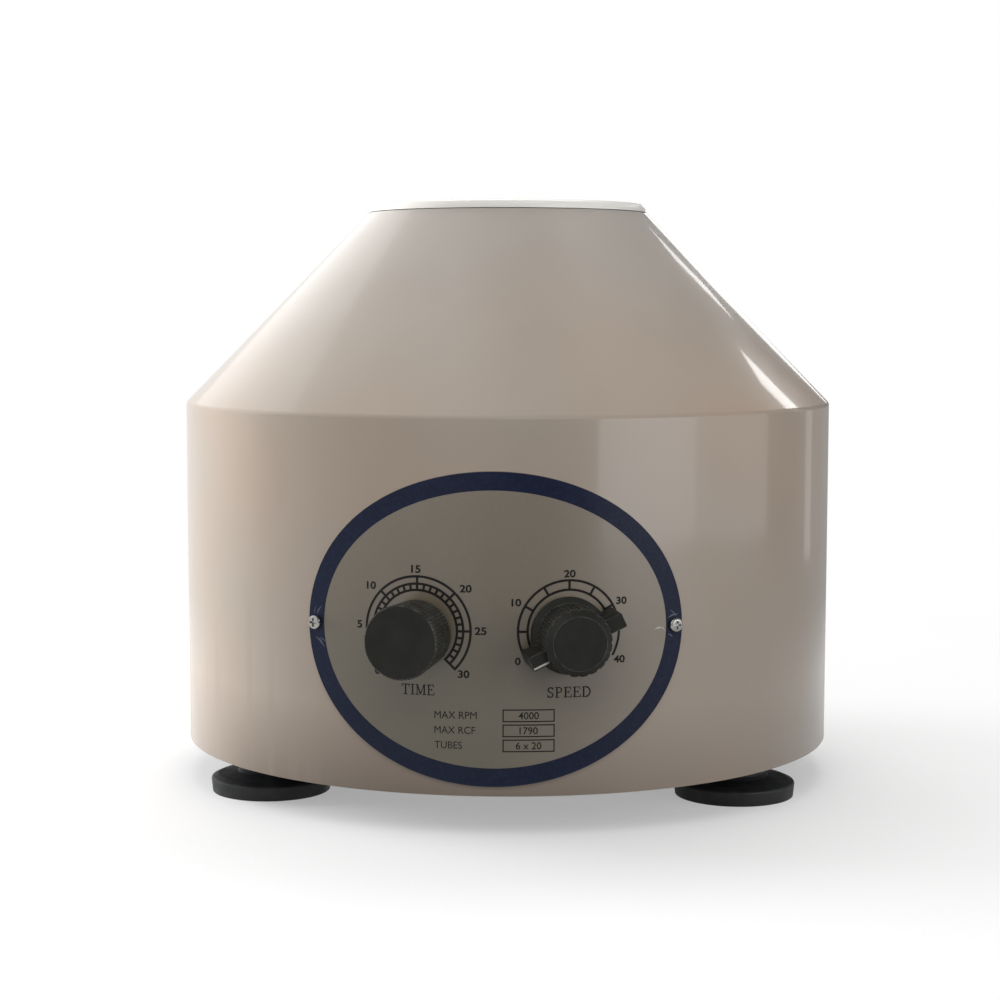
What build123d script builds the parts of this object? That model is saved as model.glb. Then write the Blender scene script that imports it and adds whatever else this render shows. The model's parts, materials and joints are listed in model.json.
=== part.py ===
from build123d import *
from math import cos, hypot, pi, radians, sin, sqrt
import os

# Small bench centrifuge with an angle rotor for six 20 ml tubes. Millimetres, +Z up.
# The origin is on the rotor axis at bench level, and the control panel faces -Y.

# housing
body_radius = 140.0
foot_height = 17.0  # bench to the housing's lower edge
wall_height = 145.0
cone_height = 81.5
mouth_outer_radius = 60.5
shell = 2.5
shoulder_round = 2.0

# rear frame, a shallow box with a flat face on the round wall
frame_proud = 10.0  # how far its face stands behind the round wall
frame_half_width = 52.0
frame_low = 16.0  # above the housing's lower edge
frame_height = 48.0
frame_round = 6.0
frame_edge_round = 1.4
frame_screw_inset = 4.8  # screws in from the face's edges
frame_pillar_radius = 3.6
frame_screw_length = 24.0
window_side_margin = 8.6  # housing kept behind the frame's sides
window_end_margin = 6.4

# screws
m3_radius = 1.45
m3_head_radius = 2.8
m3_head = 1.9
m4_radius = 2.0
m4_head_radius = 3.6
m4_head = 2.4
m5_radius = 2.5

# clearances
loose_gap = 0.3  # between pieces that only sit near each other
running_fit = 0.05  # radial, a shaft in its bearing
hole_gap = 0.2  # radial, a screw or a body in its hole
sweep_gap = 16.0  # turning rotor to the bowl's wall
lift_gap = 6.0  # lowest point of the turning rotor above the bowl's floor

# base
plate_thickness = 2.0
plate_recess = 2.0  # the base plate sits this far up inside the housing
boss_radius = 5.0
boss_height = 16.0
boss_sunk = 0.5  # into the housing's wall
foot_inset = 27.5  # foot axis to the housing's outside
foot_cup_radius = 25.2
foot_lip_height = 6.0
foot_neck_radius = 13.0
foot_sole_width = 5.0
foot_hollow = 4.0
stud_radius = 3.0
stud_head_radius = 7.0
stud_head = 2.5
stud_above_plate = 9.0

# motor
motor_radius = 38.0
motor_wall = 2.0
cap_wall = 2.5
cap_floor = 3.0
tie_rod_out = 4.6  # tie rods outside the motor's caps
ear_radius = 5.0
ear_height = 5.0
lower_cap_height = 26.0
can_height = 36.0
upper_cap_height = 14.0
shaft_radius = 4.0
bearing_outer_radius = 11.0
bearing_inner_radius = 6.2  # outside of the inner ring
bearing_race_radius = 8.8  # inside of the outer ring
bearing_width = 7.0
isolator_radius = 8.0
isolator_height = 12.0
isolator_out = 12.0  # isolators outside the motor
motor_screw_circle = 25.0
motor_plate_margin = 2.0  # beyond the isolators
motor_plate_thickness = 3.0

# chamber
bowl_inset = 14.0  # bowl's outside to the housing's outside
bowl_wall = 1.5
bowl_depth = 32.0
bowl_corner = 8.0
bowl_lip = 5.0
motor_to_bowl = 6.0
post_radius = 5.0
post_inset = 28.0
post_screw_depth = 8.0

# rotor and tube sockets
tube_count = 6
tube_lean = 45.0
tube_bore_radius = 10.25
sleeve_wall = 1.5
sleeve_depth = 88.0
sleeve_flange_out = 3.25  # beyond the sleeve
sleeve_flange = 2.5
sleeve_base = 2.0
sleeve_corner = 8.0
cushion_thickness = 3.0
cushion_ledge = 1.75  # ledge round a cushion that the tube clears
rotor_plate = 4.0
rotor_skin = 3.0
rotor_ring_depth = 59.0  # from the sleeve flange down to the lower ring
hub_radius = 13.0
hub_above_plate = 10.0
rotor_nut_flats = 13.0
rotor_nut_height = 8.0

# lid and hinge
lid_plate = 3.5
lid_wall = 2.5
lid_edge_round = 2.6
lid_dish_radius = 33.0
lid_dish_depth = 8.0
lid_skirt_depth = 5.0
lid_skirt_wall = 2.0
lid_skirt_gap = 0.8
lid_knob_radius = 11.0
lid_knob_height = 10.0
hinge_back = 6.5  # pin axis behind the housing's mouth
hinge_rise = 1.7  # pin axis above the housing's mouth
hinge_pin_radius = 1.5
knuckle_radius = 3.4
hinge_half_width = 18.0
lid_knuckle_half_width = 7.7
hinge_leaf = 3.0
hinge_leaf_length = 25.0
hinge_leaf_start = 2.8  # down the slope from the mouth's rim
hinge_screw_down = 18.0
hinge_screw_side = 11.0
screw_sink = 1.2  # screw heads below the leaf's face

# control panel
panel_bottom_margin = 3.8  # above the housing's lower edge
panel_top_margin = 20.3  # below the shoulder
panel_half_arc = 75.7
panel_thickness = 0.8
panel_overlap_arc = 15.5  # panel edge beyond the opening behind it
panel_overlap_height = 14.0
panel_screw_inset = 3.3
dial_arc = 28.8
dial_drop = 2.0  # control axes below the panel's centre
bush_radius = 4.5
bush_reach = 5.0
control_shaft_radius = 3.0
control_nut_wall = 1.5
control_nut_height = 2.4
knob_gap = 0.8
timer_width = 38.0
timer_height = 42.0
timer_depth = 30.0
speed_pot_radius = 12.0
speed_pot_depth = 13.0
tag_length = 9.0  # solder tags of the speed control
tag_reach = 7.5
timer_knob_radius = 14.2  # at its face
timer_knob_taper = 1.0  # narrower by this at its base
timer_knob_height = 22.4
timer_knob_ribs = 60
rib_depth = 0.35
timer_knob_bevel = 0.5
speed_skirt_radius = 14.8
speed_skirt_height = 3.6
speed_grip_radius = 12.8
speed_knob_height = 21.9
speed_knob_flutes = 20
flute_depth = 0.6
speed_knob_bevel = 2.6
pointer_half_length = 19.4
pointer_width = 5.6
pointer_corner = 0.6
pointer_below_face = 4.5
pointer_at_zero = 205.0  # degrees; the line on its lower edge stands at the dial's 0

# rear fittings, across the frame's face from its centre, seen from behind
inlet_offset = -22.0
fuse_offset = 14.0
switch_offset = 36.0
inlet_flange = 2.5
inlet_width = 28.0
inlet_height = 20.0
inlet_screw_side = 20.0
fuse_body_radius = 6.0
fuse_stem_radius = 3.4
fuse_radius = 2.6
fuse_collar = 1.8
fuse_cap_radius = 6.8
fuse_cap_reach = 10.0
switch_width = 13.0
switch_height = 19.0
switch_depth = 14.0

# control board
board_width = 46.0
board_length = 70.0
board_thickness = 1.6
board_standoff = 12.0
board_gap = 10.0  # clear of the motor plate

# heights and radii that follow
body_bottom = foot_height
shoulder_z = body_bottom + wall_height
mouth_z = shoulder_z + cone_height
inner_radius = body_radius - shell
cone_run = body_radius - mouth_outer_radius
cone_length = hypot(cone_run, cone_height)
normal_out = cone_height / cone_length
normal_up = cone_run / cone_length
plate_bottom = body_bottom + plate_recess
plate_top = plate_bottom + plate_thickness
plate_radius = inner_radius - loose_gap
motor_plate_bottom = plate_top + isolator_height
motor_bottom = motor_plate_bottom + motor_plate_thickness
can_bottom = motor_bottom + lower_cap_height
can_top = can_bottom + can_height
motor_top = can_top + upper_cap_height
bowl_bottom = motor_top + motor_to_bowl
bowl_floor = bowl_bottom + bowl_wall
bowl_radius = body_radius - bowl_inset
bowl_inner_radius = bowl_radius - bowl_wall
post_circle = body_radius - post_inset
boss_circle = inner_radius - boss_radius + boss_sunk
foot_circle = body_radius - foot_inset
rear_y = body_radius + frame_proud
frame_screw_side = frame_half_width - frame_screw_inset
frame_screw_rise = frame_height / 2 - frame_screw_inset
window_half_width = frame_half_width - window_side_margin
window_half_height = frame_height / 2 - window_end_margin
isolator_circle = motor_radius + isolator_out
motor_plate_radius = isolator_circle + isolator_radius + motor_plate_margin
sleeve_radius = tube_bore_radius + sleeve_wall
sleeve_flange_radius = sleeve_radius + sleeve_flange_out
cushion_radius = tube_bore_radius - cushion_ledge
panel_screw_arc = panel_half_arc - panel_screw_inset
control_nut_flats = 2 * (bush_radius + control_nut_wall)
foot_angles = {"front_left": 210.0, "front_right": 330.0, "rear": 90.0}
boss_angles = (60.0, 120.0, 240.0, 300.0)
post_angles = (45.0, 135.0, 225.0, 315.0)
isolator_angles = (30.0, 150.0, 270.0)
cap_screw_angles = (0.0, 90.0, 180.0, 270.0)
brush_angles = (0.0, 180.0)

# the tube sockets: a point is named by its distance up the tube from its tip, and out from its axis
lean_cos = cos(radians(tube_lean))
lean_sin = sin(radians(tube_lean))
sleeve_bottom = cushion_thickness + sleeve_base
corner_down = sleeve_bottom - sleeve_corner
corner_out = sleeve_radius - sleeve_corner
tip_radius = bowl_inner_radius - sweep_gap - (corner_down * lean_sin + corner_out * lean_cos + sleeve_corner)
tip_z = bowl_floor + lift_gap + corner_down * lean_cos + corner_out * lean_sin + sleeve_corner
flange_under = sleeve_depth - sleeve_flange
plate_under = flange_under - rotor_plate
skin_inside = sleeve_flange_radius
skin_outside = skin_inside + rotor_skin


def cone_radius(height, inset=0.0):
    """Radius of the housing's cone at a height, on a surface set in from its outside."""
    return mouth_outer_radius + (mouth_z - height) * cone_run / cone_height - inset / normal_out


mouth_inner_radius = cone_radius(mouth_z, shell)
inner_shoulder_z = mouth_z - (inner_radius - mouth_inner_radius) * cone_height / cone_run

# lid
lid_bottom = mouth_z + loose_gap
lid_top = lid_bottom + lid_plate
dish_floor = lid_top - lid_dish_depth
skirt_radius = mouth_inner_radius - lid_skirt_gap
hinge_y = mouth_outer_radius + hinge_back
hinge_z = mouth_z + hinge_rise

# control panel
panel_low = body_bottom + panel_bottom_margin
panel_high = shoulder_z - panel_top_margin
panel_half_height = (panel_high - panel_low) / 2
panel_z = (panel_high + panel_low) / 2
dial_z = panel_z - dial_drop


def lathe(outline, rounded=()):
    """Solid turned about Z from (radius, height) corners; rounded holds (round, corner) pairs."""
    face = make_face(Polyline(*[(x, 0, z) for x, z in outline], close=True)).faces()[0]
    for size, corner in rounded:
        spot = Vector(corner[0], 0, corner[1])
        near = [vertex for vertex in face.vertices() if (vertex.center() - spot).length < 0.01]
        face = face.fillet_2d(size, near)
    return revolve(face, Axis.Z)


def ring(outer, inner, low, high):
    """Plain ring about Z between two heights."""
    return lathe([(inner, low), (outer, low), (outer, high), (inner, high)])


def rod(radius, low, high):
    """Upright cylinder about Z between two heights."""
    return Pos(0, 0, (low + high) / 2) * Cylinder(radius, high - low)


def block(width, depth, low, high):
    """Box centred on Z between two heights."""
    return Pos(0, 0, (low + high) / 2) * Box(width, depth, high - low)


def hexagon(flats, low, high):
    """Upright hexagonal prism about Z."""
    return Pos(0, 0, low) * extrude(RegularPolygon(flats / 2, 6, major_radius=False), high - low)


def around(shape, radius, angles, height=0.0):
    """Copies of a shape on a circle about Z, each turned to face outwards."""
    return [Rot(0, 0, angle) * Pos(radius, 0, height) * shape for angle in angles]


def group(*shapes):
    """All the solids of some shapes, kept apart in one compound."""
    found = []
    for shape in shapes:
        if isinstance(shape, list):
            shape = group(*shape)
        found.extend(shape.solids())
    return Compound(found)


def pan_screw(head_radius, head_height, radius, length):
    """Cross-head screw along Z: the head stands on height 0 and the shank runs down."""
    head = lathe(
        [(0, 0), (head_radius, 0), (head_radius, head_height), (0, head_height)],
        [(head_height * 0.55, (head_radius, head_height))],
    )
    slot_width = head_radius * 0.3
    slot_depth = head_height * 0.55
    cross = block(head_radius * 1.2, slot_width, head_height - slot_depth, head_height + 1)
    cross += block(slot_width, head_radius * 1.2, head_height - slot_depth, head_height + 1)
    return (head - cross) + rod(radius, -length, 0)


def wall_plane(arc, height):
    """Plane on the round wall, an arc length from the panel's centre line, facing straight out."""
    turn = arc / body_radius
    out = (sin(turn), -cos(turn), 0)
    place = (body_radius * sin(turn), -body_radius * cos(turn), height)
    return Plane(origin=place, x_dir=(cos(turn), sin(turn), 0), z_dir=out)


def rear_plane(offset):
    """Plane on the rear frame's face, at an offset across it, facing straight back."""
    height = body_bottom + frame_low + frame_height / 2
    return Plane(origin=(-offset, rear_y, height), x_dir=(-1, 0, 0), z_dir=(0, 1, 0))


def wrapped_oval(half_arc, half_height, low_radius, high_radius):
    """An oval cut from a sheet that lies on the round wall, between two radii."""
    points = []
    for step in range(24):
        turn = 2 * pi * step / 24
        across = body_radius * sin(half_arc * cos(turn) / body_radius)
        points.append((across, 0, panel_z + half_height * sin(turn)))
    face = make_face(Spline(*points, periodic=True))
    slab = extrude(face, amount=high_radius + 10, dir=(0, -1, 0))
    return slab & ring(high_radius, low_radius, panel_low - 10, panel_high + 10)


def socket_plane(angle):
    """Plane at a tube's tip, its normal up the tube towards the mouth."""
    turn = radians(angle)
    tip = (tip_radius * cos(turn), tip_radius * sin(turn), tip_z)
    up = (-lean_sin * cos(turn), -lean_sin * sin(turn), lean_cos)
    return Plane(origin=tip, x_dir=(-sin(turn), cos(turn), 0), z_dir=up)


def rotor_point(along, out):
    """(radius, height) of a point given along and out from a tube's axis."""
    return (tip_radius - along * lean_sin + out * lean_cos, tip_z + along * lean_cos + out * lean_sin)


tube_angles = [360.0 / tube_count * index for index in range(tube_count)]


def make_housing():
    """One moulded shell: round wall, cone, mouth, inner bosses and a window under the rear frame."""
    shoulder = (body_radius, shoulder_z)
    inner_shoulder = (inner_radius, inner_shoulder_z)
    shell_outline = [
        (body_radius, body_bottom),
        shoulder,
        (mouth_outer_radius, mouth_z),
        (mouth_inner_radius, mouth_z),
        inner_shoulder,
        (inner_radius, body_bottom),
    ]
    body = lathe(shell_outline, [(shoulder_round, shoulder), (shoulder_round / 2, inner_shoulder)])

    window = block(2 * window_half_width, 2 * window_half_height, -body_radius / 2, 1)
    body -= rear_plane(0) * window
    for x, z in frame_corners():
        body -= rear_plane(0) * Pos(x, z, 0) * rod(m3_radius, -body_radius / 2, 1)

    boss = rod(boss_radius, plate_top, plate_top + boss_height)
    core = rod(m3_radius, plate_top, plate_top + boss_height - 3)
    keep = rod(body_radius - shell / 2, 0, mouth_z)
    for angle in boss_angles:
        spot = Rot(0, 0, angle) * Pos(boss_circle, 0, 0)
        body += (spot * boss) & keep
        body -= spot * core

    for arc in (-panel_screw_arc, panel_screw_arc):
        place = wall_plane(arc, panel_z)
        body += place * rod(m3_head_radius, -shell - 5, -shell / 2)
        body -= place * rod(m3_radius, -shell - 4, 1)
    body -= wrapped_oval(
        panel_half_arc - panel_overlap_arc,
        panel_half_height - panel_overlap_height,
        inner_radius - 1,
        body_radius + 1,
    )

    leaf = hinge_plane()
    for side in (-hinge_screw_side, hinge_screw_side):
        body -= leaf * Pos(side, -hinge_screw_down, 0) * rod(m3_radius, -shell - 2, 1)
    return body


def make_base_plate():
    """Round steel floor with holes for its screws and studs, and a ring of air slots."""
    plate = rod(plate_radius, plate_bottom, plate_top)
    slot = Pos(0, 0, plate_bottom - 1) * extrude(SlotOverall(22, 4), plate_thickness + 2)
    drill = rod(1.0, plate_bottom - 1, plate_top + 1)
    cuts = around(slot, 80.0, range(0, 360, 15))
    cuts += around(slot, 22.0, range(0, 360, 60))

    def holes(radius, circle, angles):
        return around(rod(radius, plate_bottom - 1, plate_top + 1), circle, angles)

    cuts += holes(stud_radius + hole_gap, foot_circle, foot_angles.values())
    cuts += holes(m3_radius + hole_gap, boss_circle, boss_angles)
    cuts += holes(m4_radius + hole_gap, post_circle, post_angles)
    cuts += holes(m5_radius + hole_gap, isolator_circle, isolator_angles)
    cuts += [board_place() * Pos(x, y, 0) * drill for x, y in board_corners()]
    for cut in cuts:
        plate -= cut
    return plate


def frame_corners():
    """Places of the rear frame's screws, across and up from the middle of its face."""
    sides = (-frame_screw_side, frame_screw_side)
    return [(x, z) for x in sides for z in (-frame_screw_rise, frame_screw_rise)]


def make_rear_frame():
    """Moulded box on the wall: a flat face cut for the mains fittings, and a pillar in each corner."""
    depth = body_radius / 2
    box = block(2 * frame_half_width, frame_height, -depth, 0)
    box = fillet(box.edges().filter_by(Axis.Z), frame_round)
    box = fillet(box.faces().sort_by(Axis.Z)[-1].edges(), frame_edge_round)
    hollow = block(2 * (frame_half_width - shell), frame_height - 2 * shell, -depth - 1, -shell)
    frame = box - fillet(hollow.edges().filter_by(Axis.Z), frame_round - shell)
    for x, z in frame_corners():
        frame += Pos(x, z, 0) * rod(frame_pillar_radius, -depth, -shell / 2)
        frame -= Pos(x, z, 0) * rod(m3_radius + hole_gap, -depth - 1, 1)
        frame -= Pos(x, z, 0) * rod(m3_head_radius + loose_gap, -screw_sink, 1)

    inlet = Pos(inlet_offset, 0, 0)
    frame -= inlet * block(inlet_width + 2 * hole_gap, inlet_height + 2 * hole_gap, -shell - 1, 1)
    for side in (-inlet_screw_side, inlet_screw_side):
        frame -= inlet * Pos(side, 0, 0) * rod(m3_radius, -shell - 1, 1)
    frame -= Pos(fuse_offset, 0, 0) * rod(fuse_body_radius + hole_gap, -shell - 1, 1)
    switch = block(switch_width + 2 * hole_gap, switch_height + 2 * hole_gap, -shell - 1, 1)
    frame -= Pos(switch_offset, 0, 0) * switch
    return rear_plane(0) * frame - rod(body_radius, 0, mouth_z)


def make_case_screws():
    """M3 screws: four in the base plate, four in the rear frame, two at the inlet, two at the hinge."""

    def screw(length):
        return pan_screw(m3_head_radius, m3_head, m3_radius, length)

    base = Rot(180, 0, 0) * screw(plate_thickness + boss_height - 5)
    frame_screws = [Pos(x, z, -screw_sink) * screw(frame_screw_length) for x, z in frame_corners()]
    inlet_sides = (inlet_offset - inlet_screw_side, inlet_offset + inlet_screw_side)
    inlet = [Pos(side, 0, inlet_flange - screw_sink) * screw(6.0) for side in inlet_sides]
    hinge_sides = (-hinge_screw_side, hinge_screw_side)
    hinge = [Pos(side, -hinge_screw_down, hinge_leaf - screw_sink) * screw(6.0) for side in hinge_sides]
    return group(
        around(base, boss_circle, boss_angles, plate_bottom),
        [rear_plane(0) * piece for piece in frame_screws + inlet],
        [hinge_plane() * piece for piece in hinge],
    )


def make_foot(angle):
    """Rubber suction foot: a wide hollow cup under a narrow neck."""
    lip = foot_lip_height
    sole = foot_cup_radius - foot_sole_width
    outline = [
        (0, foot_hollow),
        (sole - 4, foot_hollow),
        (sole, 0),
        (foot_cup_radius - 0.6, 0),
        (foot_cup_radius, lip),
        (foot_cup_radius - 3, lip + 1.3),
        (foot_neck_radius + 1.2, lip + 2.4),
        (foot_neck_radius, lip + 3.6),
        (foot_neck_radius, plate_bottom),
        (0, plate_bottom),
    ]
    rounds = [
        (1.2, (foot_cup_radius, lip)),
        (0.4, (foot_cup_radius - 0.6, 0)),
        (1.0, (foot_cup_radius - 3, lip + 1.3)),
    ]
    foot = lathe(outline, rounds) - stud()
    return Rot(0, 0, angle) * Pos(foot_circle, 0, 0) * foot


def stud():
    """Threaded stud with a round head moulded into a foot."""
    head_top = foot_hollow + 2 * stud_head
    head = rod(stud_head_radius, head_top - stud_head, head_top)
    return head + rod(stud_radius, head_top, plate_top + stud_above_plate)


def make_foot_studs():
    """The three studs, one in each foot."""
    return group(around(stud(), foot_circle, foot_angles.values()))


def make_foot_nuts():
    """A washer and a hexagon nut above the base plate on each foot's stud."""
    bore = rod(stud_radius, plate_top - 1, plate_top + 10)
    washer = rod(8.0, plate_top, plate_top + 1.2) - bore
    nut = hexagon(10.0, plate_top + 1.2, plate_top + 6.2) - bore
    places = foot_angles.values()
    return group(around(washer, foot_circle, places), around(nut, foot_circle, places))


def make_motor_isolators():
    """Three waisted rubber bushes that carry the motor plate."""
    middle = plate_top + isolator_height / 2
    outline = [
        (m5_radius, plate_top),
        (isolator_radius, plate_top),
        (isolator_radius, plate_top + 2.5),
        (isolator_radius - 1.6, middle),
        (isolator_radius, motor_plate_bottom - 2.5),
        (isolator_radius, motor_plate_bottom),
        (m5_radius, motor_plate_bottom),
    ]
    bush = lathe(outline, [(3.0, (isolator_radius - 1.6, middle))])
    return group(around(bush, isolator_circle, isolator_angles))


def make_isolator_bolts():
    """Bolts from under the base plate, with a nut above the motor plate."""
    flats = 8.0
    bolt = hexagon(flats, plate_bottom - 2.6, plate_bottom) + rod(m5_radius, plate_bottom, motor_bottom + 8)
    nut = hexagon(flats, motor_bottom, motor_bottom + 4) - rod(m5_radius, motor_bottom, motor_bottom + 8)
    return group([around(piece, isolator_circle, isolator_angles) for piece in (bolt, nut)])


def make_motor_plate():
    """Steel disc on the isolators, drilled for their bolts and the motor's screws."""
    plate = rod(motor_plate_radius, motor_plate_bottom, motor_bottom)
    cuts = around(rod(m5_radius + hole_gap, 0, motor_bottom + 1), isolator_circle, isolator_angles)
    cuts += around(rod(m4_radius + hole_gap, 0, motor_bottom + 1), motor_screw_circle, cap_screw_angles)
    for cut in cuts:
        plate -= cut
    return plate


def make_frame_screws():
    """M4 screws: four hold the motor down, eight hold the posts to the base plate and the bowl."""

    def screw(length):
        return pan_screw(m4_head_radius, m4_head, m4_radius, length)

    up = Rot(180, 0, 0) * screw(motor_plate_thickness + 2.0)
    post_low = Rot(180, 0, 0) * screw(plate_thickness + post_screw_depth)
    post_high = screw(bowl_wall + post_screw_depth)
    return group(
        around(up, motor_screw_circle, cap_screw_angles, motor_plate_bottom),
        around(post_low, post_circle, post_angles, plate_bottom),
        around(post_high, post_circle, post_angles, bowl_floor),
    )


lower_bearing_z = motor_bottom + cap_floor
upper_bearing_z = motor_top - cap_wall - bearing_width
tie_rod_circle = motor_radius + tie_rod_out
tie_rod_angles = (90.0, 270.0)
cap_inside = motor_radius - cap_wall


def with_ears(cap, low, high):
    """The cap with two ears that take the long tie rods."""
    neck = tie_rod_circle - cap_inside
    ear = rod(ear_radius, low, high) + Pos(-neck / 2, 0, 0) * block(neck, 2 * ear_radius, low, high)
    ear -= Pos(-tie_rod_circle, 0, 0) * rod(cap_inside, 0, motor_top)
    for copy in around(ear, tie_rod_circle, tie_rod_angles):
        cap += copy
    for hole in around(rod(m4_radius + hole_gap, low - 1, high + 1), tie_rod_circle, tie_rod_angles):
        cap -= hole
    return cap


def make_motor_lower_cap():
    """Cast cap: bearing seat in its floor, brush holders through its wall."""
    seat_top = lower_bearing_z + bearing_width
    cap = ring(motor_radius, cap_inside, motor_bottom, can_bottom)
    cap += rod(cap_inside + 1, motor_bottom, lower_bearing_z)
    cap += rod(bearing_outer_radius + cap_floor, motor_bottom, seat_top)
    cap -= rod(bearing_outer_radius, lower_bearing_z, seat_top + 1)
    cap = with_ears(cap, can_bottom - ear_height, can_bottom)
    screw_hole = rod(m4_radius, motor_bottom - 1, motor_bottom + 2)
    for hole in around(screw_hole, motor_screw_circle, cap_screw_angles):
        cap -= hole
    for hole in around(brush_tube_outer(), 0, brush_angles):
        cap -= hole
    return cap


def make_motor_upper_cap():
    """Cast cap: bearing seat under its roof, air holes round it."""
    roof = motor_top - cap_wall
    seat_bottom = roof - bearing_width - 0.5
    cap = ring(motor_radius, cap_inside, can_top, motor_top)
    cap += rod(cap_inside + 1, roof, motor_top)
    cap += rod(bearing_outer_radius + cap_floor, seat_bottom, motor_top)
    cap -= rod(bearing_outer_radius, seat_bottom - 1, roof)
    cap -= rod(shaft_radius + 1.5, roof - 1, motor_top + 1)
    for hole in around(rod(4.0, roof - 1, motor_top + 1), motor_screw_circle, range(0, 360, 45)):
        cap -= hole
    return with_ears(cap, can_top, can_top + ear_height)


def make_motor_can():
    """Steel tube clamped between the caps."""
    return ring(motor_radius, motor_radius - motor_wall, can_bottom, can_top)


def make_motor_tie_rods():
    """Two long screws that clamp the can between its caps, each with a nut below."""
    flats = 7.0
    head_seat = can_top + ear_height
    nut_top = can_bottom - ear_height
    screw = hexagon(flats, head_seat, head_seat + 3) + rod(m4_radius, nut_top - 5, head_seat)
    nut = hexagon(flats, nut_top - 3.2, nut_top) - rod(m4_radius, nut_top - 6, nut_top + 1)
    return group([around(piece, tie_rod_circle, tie_rod_angles) for piece in (screw, nut)])


def sector(outer, inner, low, high, half_angle):
    """Piece of a ring about Z, centred on +X."""
    reach = outer * 2
    wedge_face = make_face(
        Polyline(
            (0, 0),
            (reach * cos(radians(half_angle)), -reach * sin(radians(half_angle))),
            (reach * 1.2, 0),
            (reach * cos(radians(half_angle)), reach * sin(radians(half_angle))),
            close=True,
        )
    )
    wedge = Pos(0, 0, low) * extrude(wedge_face, high - low)
    return ring(outer, inner, low, high) & wedge


# field and armature
core_bottom = can_bottom + 2.0
core_top = core_bottom + 26.0
armature_radius = 22.0
air_gap = 0.6
yoke_inner = motor_radius - motor_wall - 4.5
pole_half_angle = 42.0
coil_half_angle = 62.0
coil_end = 3.5
winding_end = 3.0


def make_stator_core():
    """Laminated yoke with two poles that face the armature."""
    yoke = ring(motor_radius - motor_wall, yoke_inner, core_bottom, core_top)
    pole = sector(yoke_inner + 0.5, armature_radius + air_gap, core_bottom, core_top, pole_half_angle)
    for angle in (90.0, 270.0):
        yoke += Rot(0, 0, angle) * pole
    return yoke


def make_field_coils():
    """A wound coil round each pole."""
    outer = yoke_inner
    inner = armature_radius + 1.6
    coil = sector(outer, inner, core_bottom - coil_end, core_top + coil_end, coil_half_angle)
    coil -= sector(outer + 1, inner - 1, core_bottom, core_top, pole_half_angle)
    return group([Rot(0, 0, angle) * coil for angle in (90.0, 270.0)])


def slot_bars():
    """The conductors that lie in the armature's slots."""
    bar = Pos(armature_radius - 4.0, 0, 0) * block(6.0, 3.6, core_bottom, core_top)
    return [Rot(0, 0, 30.0 * index + 15.0) * bar for index in range(12)]


def make_armature_core():
    """Laminated drum with twelve slots, on the shaft."""
    core = rod(armature_radius, core_bottom, core_top) - rod(shaft_radius, 0, motor_top)
    for bar in slot_bars():
        core -= bar
    return core


def make_armature_winding():
    """End turns above and below the core, joined by the bars in its slots."""
    winding = ring(armature_radius - 2.0, shaft_radius + 3.0, core_bottom - winding_end, core_bottom)
    winding += ring(armature_radius - 2.0, shaft_radius + 3.0, core_top, core_top + winding_end)
    for bar in slot_bars():
        winding += bar
    return winding


commutator_radius = 11.0
commutator_low = lower_bearing_z + bearing_width + 3
commutator_high = core_bottom - winding_end - 1.5
brush_middle = (commutator_low + commutator_high) / 2
brush_width = 6.0
brush_height = 7.0
brush_outer_end = 26.0
brush_tube_inner_end = 14.5
brush_tube_end = motor_radius + 2.0


def make_commutator():
    """Copper drum with slits between its bars."""
    drum = ring(commutator_radius, shaft_radius, commutator_low, commutator_high)
    slit = Pos(commutator_radius, 0, 0) * block(1.6, 0.5, commutator_low - 1, commutator_high + 1)
    for index in range(24):
        drum -= Rot(0, 0, 15.0 * index) * slit
    return drum


def radial_box(start, end, width, height):
    """Box along +X between two distances, at the brushes' height."""
    return Pos((start + end) / 2, 0, brush_middle) * Box(end - start, width, height)


def brush_tube_outer():
    return radial_box(brush_tube_inner_end, brush_tube_end, brush_width + 2.4, brush_height + 2.4)


def make_brush_holders():
    """Square brass tubes through the lower cap, closed by a cap at the outer end."""
    tube = brush_tube_outer()
    tube -= radial_box(brush_tube_inner_end - 1, brush_tube_end - 1.5, brush_width + 0.2, brush_height + 0.2)
    return group([Rot(0, 0, angle) * tube for angle in brush_angles])


def make_carbon_brushes():
    """Carbon blocks with a hollow face that rides on the commutator."""
    brush = radial_box(commutator_radius - 1, brush_outer_end, brush_width, brush_height)
    brush -= rod(commutator_radius + running_fit, commutator_low - 9, commutator_high + 9)
    return group([Rot(0, 0, angle) * brush for angle in brush_angles])


def make_brush_springs():
    """Coil springs between each brush and the end of its holder."""
    wire = 0.35
    length = brush_tube_end - 1.5 - brush_outer_end - 2 * wire
    path = Helix(pitch=length / 5, height=length, radius=2.2)
    start = path @ 0
    along = path % 0
    section = Plane(origin=start, z_dir=along) * Circle(wire)
    coil = sweep(section, path)
    spring = Pos(brush_outer_end + wire, 0, brush_middle) * Rot(0, 90, 0) * coil
    return group([Rot(0, 0, angle) * spring for angle in brush_angles])


def make_bearing_outer_rings():
    """Fixed ring of each bearing, seated in the motor's caps."""
    rings = [
        ring(bearing_outer_radius, bearing_race_radius, low, low + bearing_width)
        for low in (lower_bearing_z, upper_bearing_z)
    ]
    return group(rings)


def make_bearing_inner_sets():
    """Inner ring and seven balls of each bearing, which turn with the shaft."""
    ball = Sphere((bearing_race_radius - bearing_inner_radius) / 2 - running_fit)
    middle = (bearing_race_radius + bearing_inner_radius) / 2
    angles = [360.0 / 7 * index for index in range(7)]
    sets = []
    for low in (lower_bearing_z, upper_bearing_z):
        sets.append(ring(bearing_inner_radius, shaft_radius, low, low + bearing_width))
        sets.append(around(ball, middle, angles, low + bearing_width / 2))
    return group(*sets)


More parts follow.
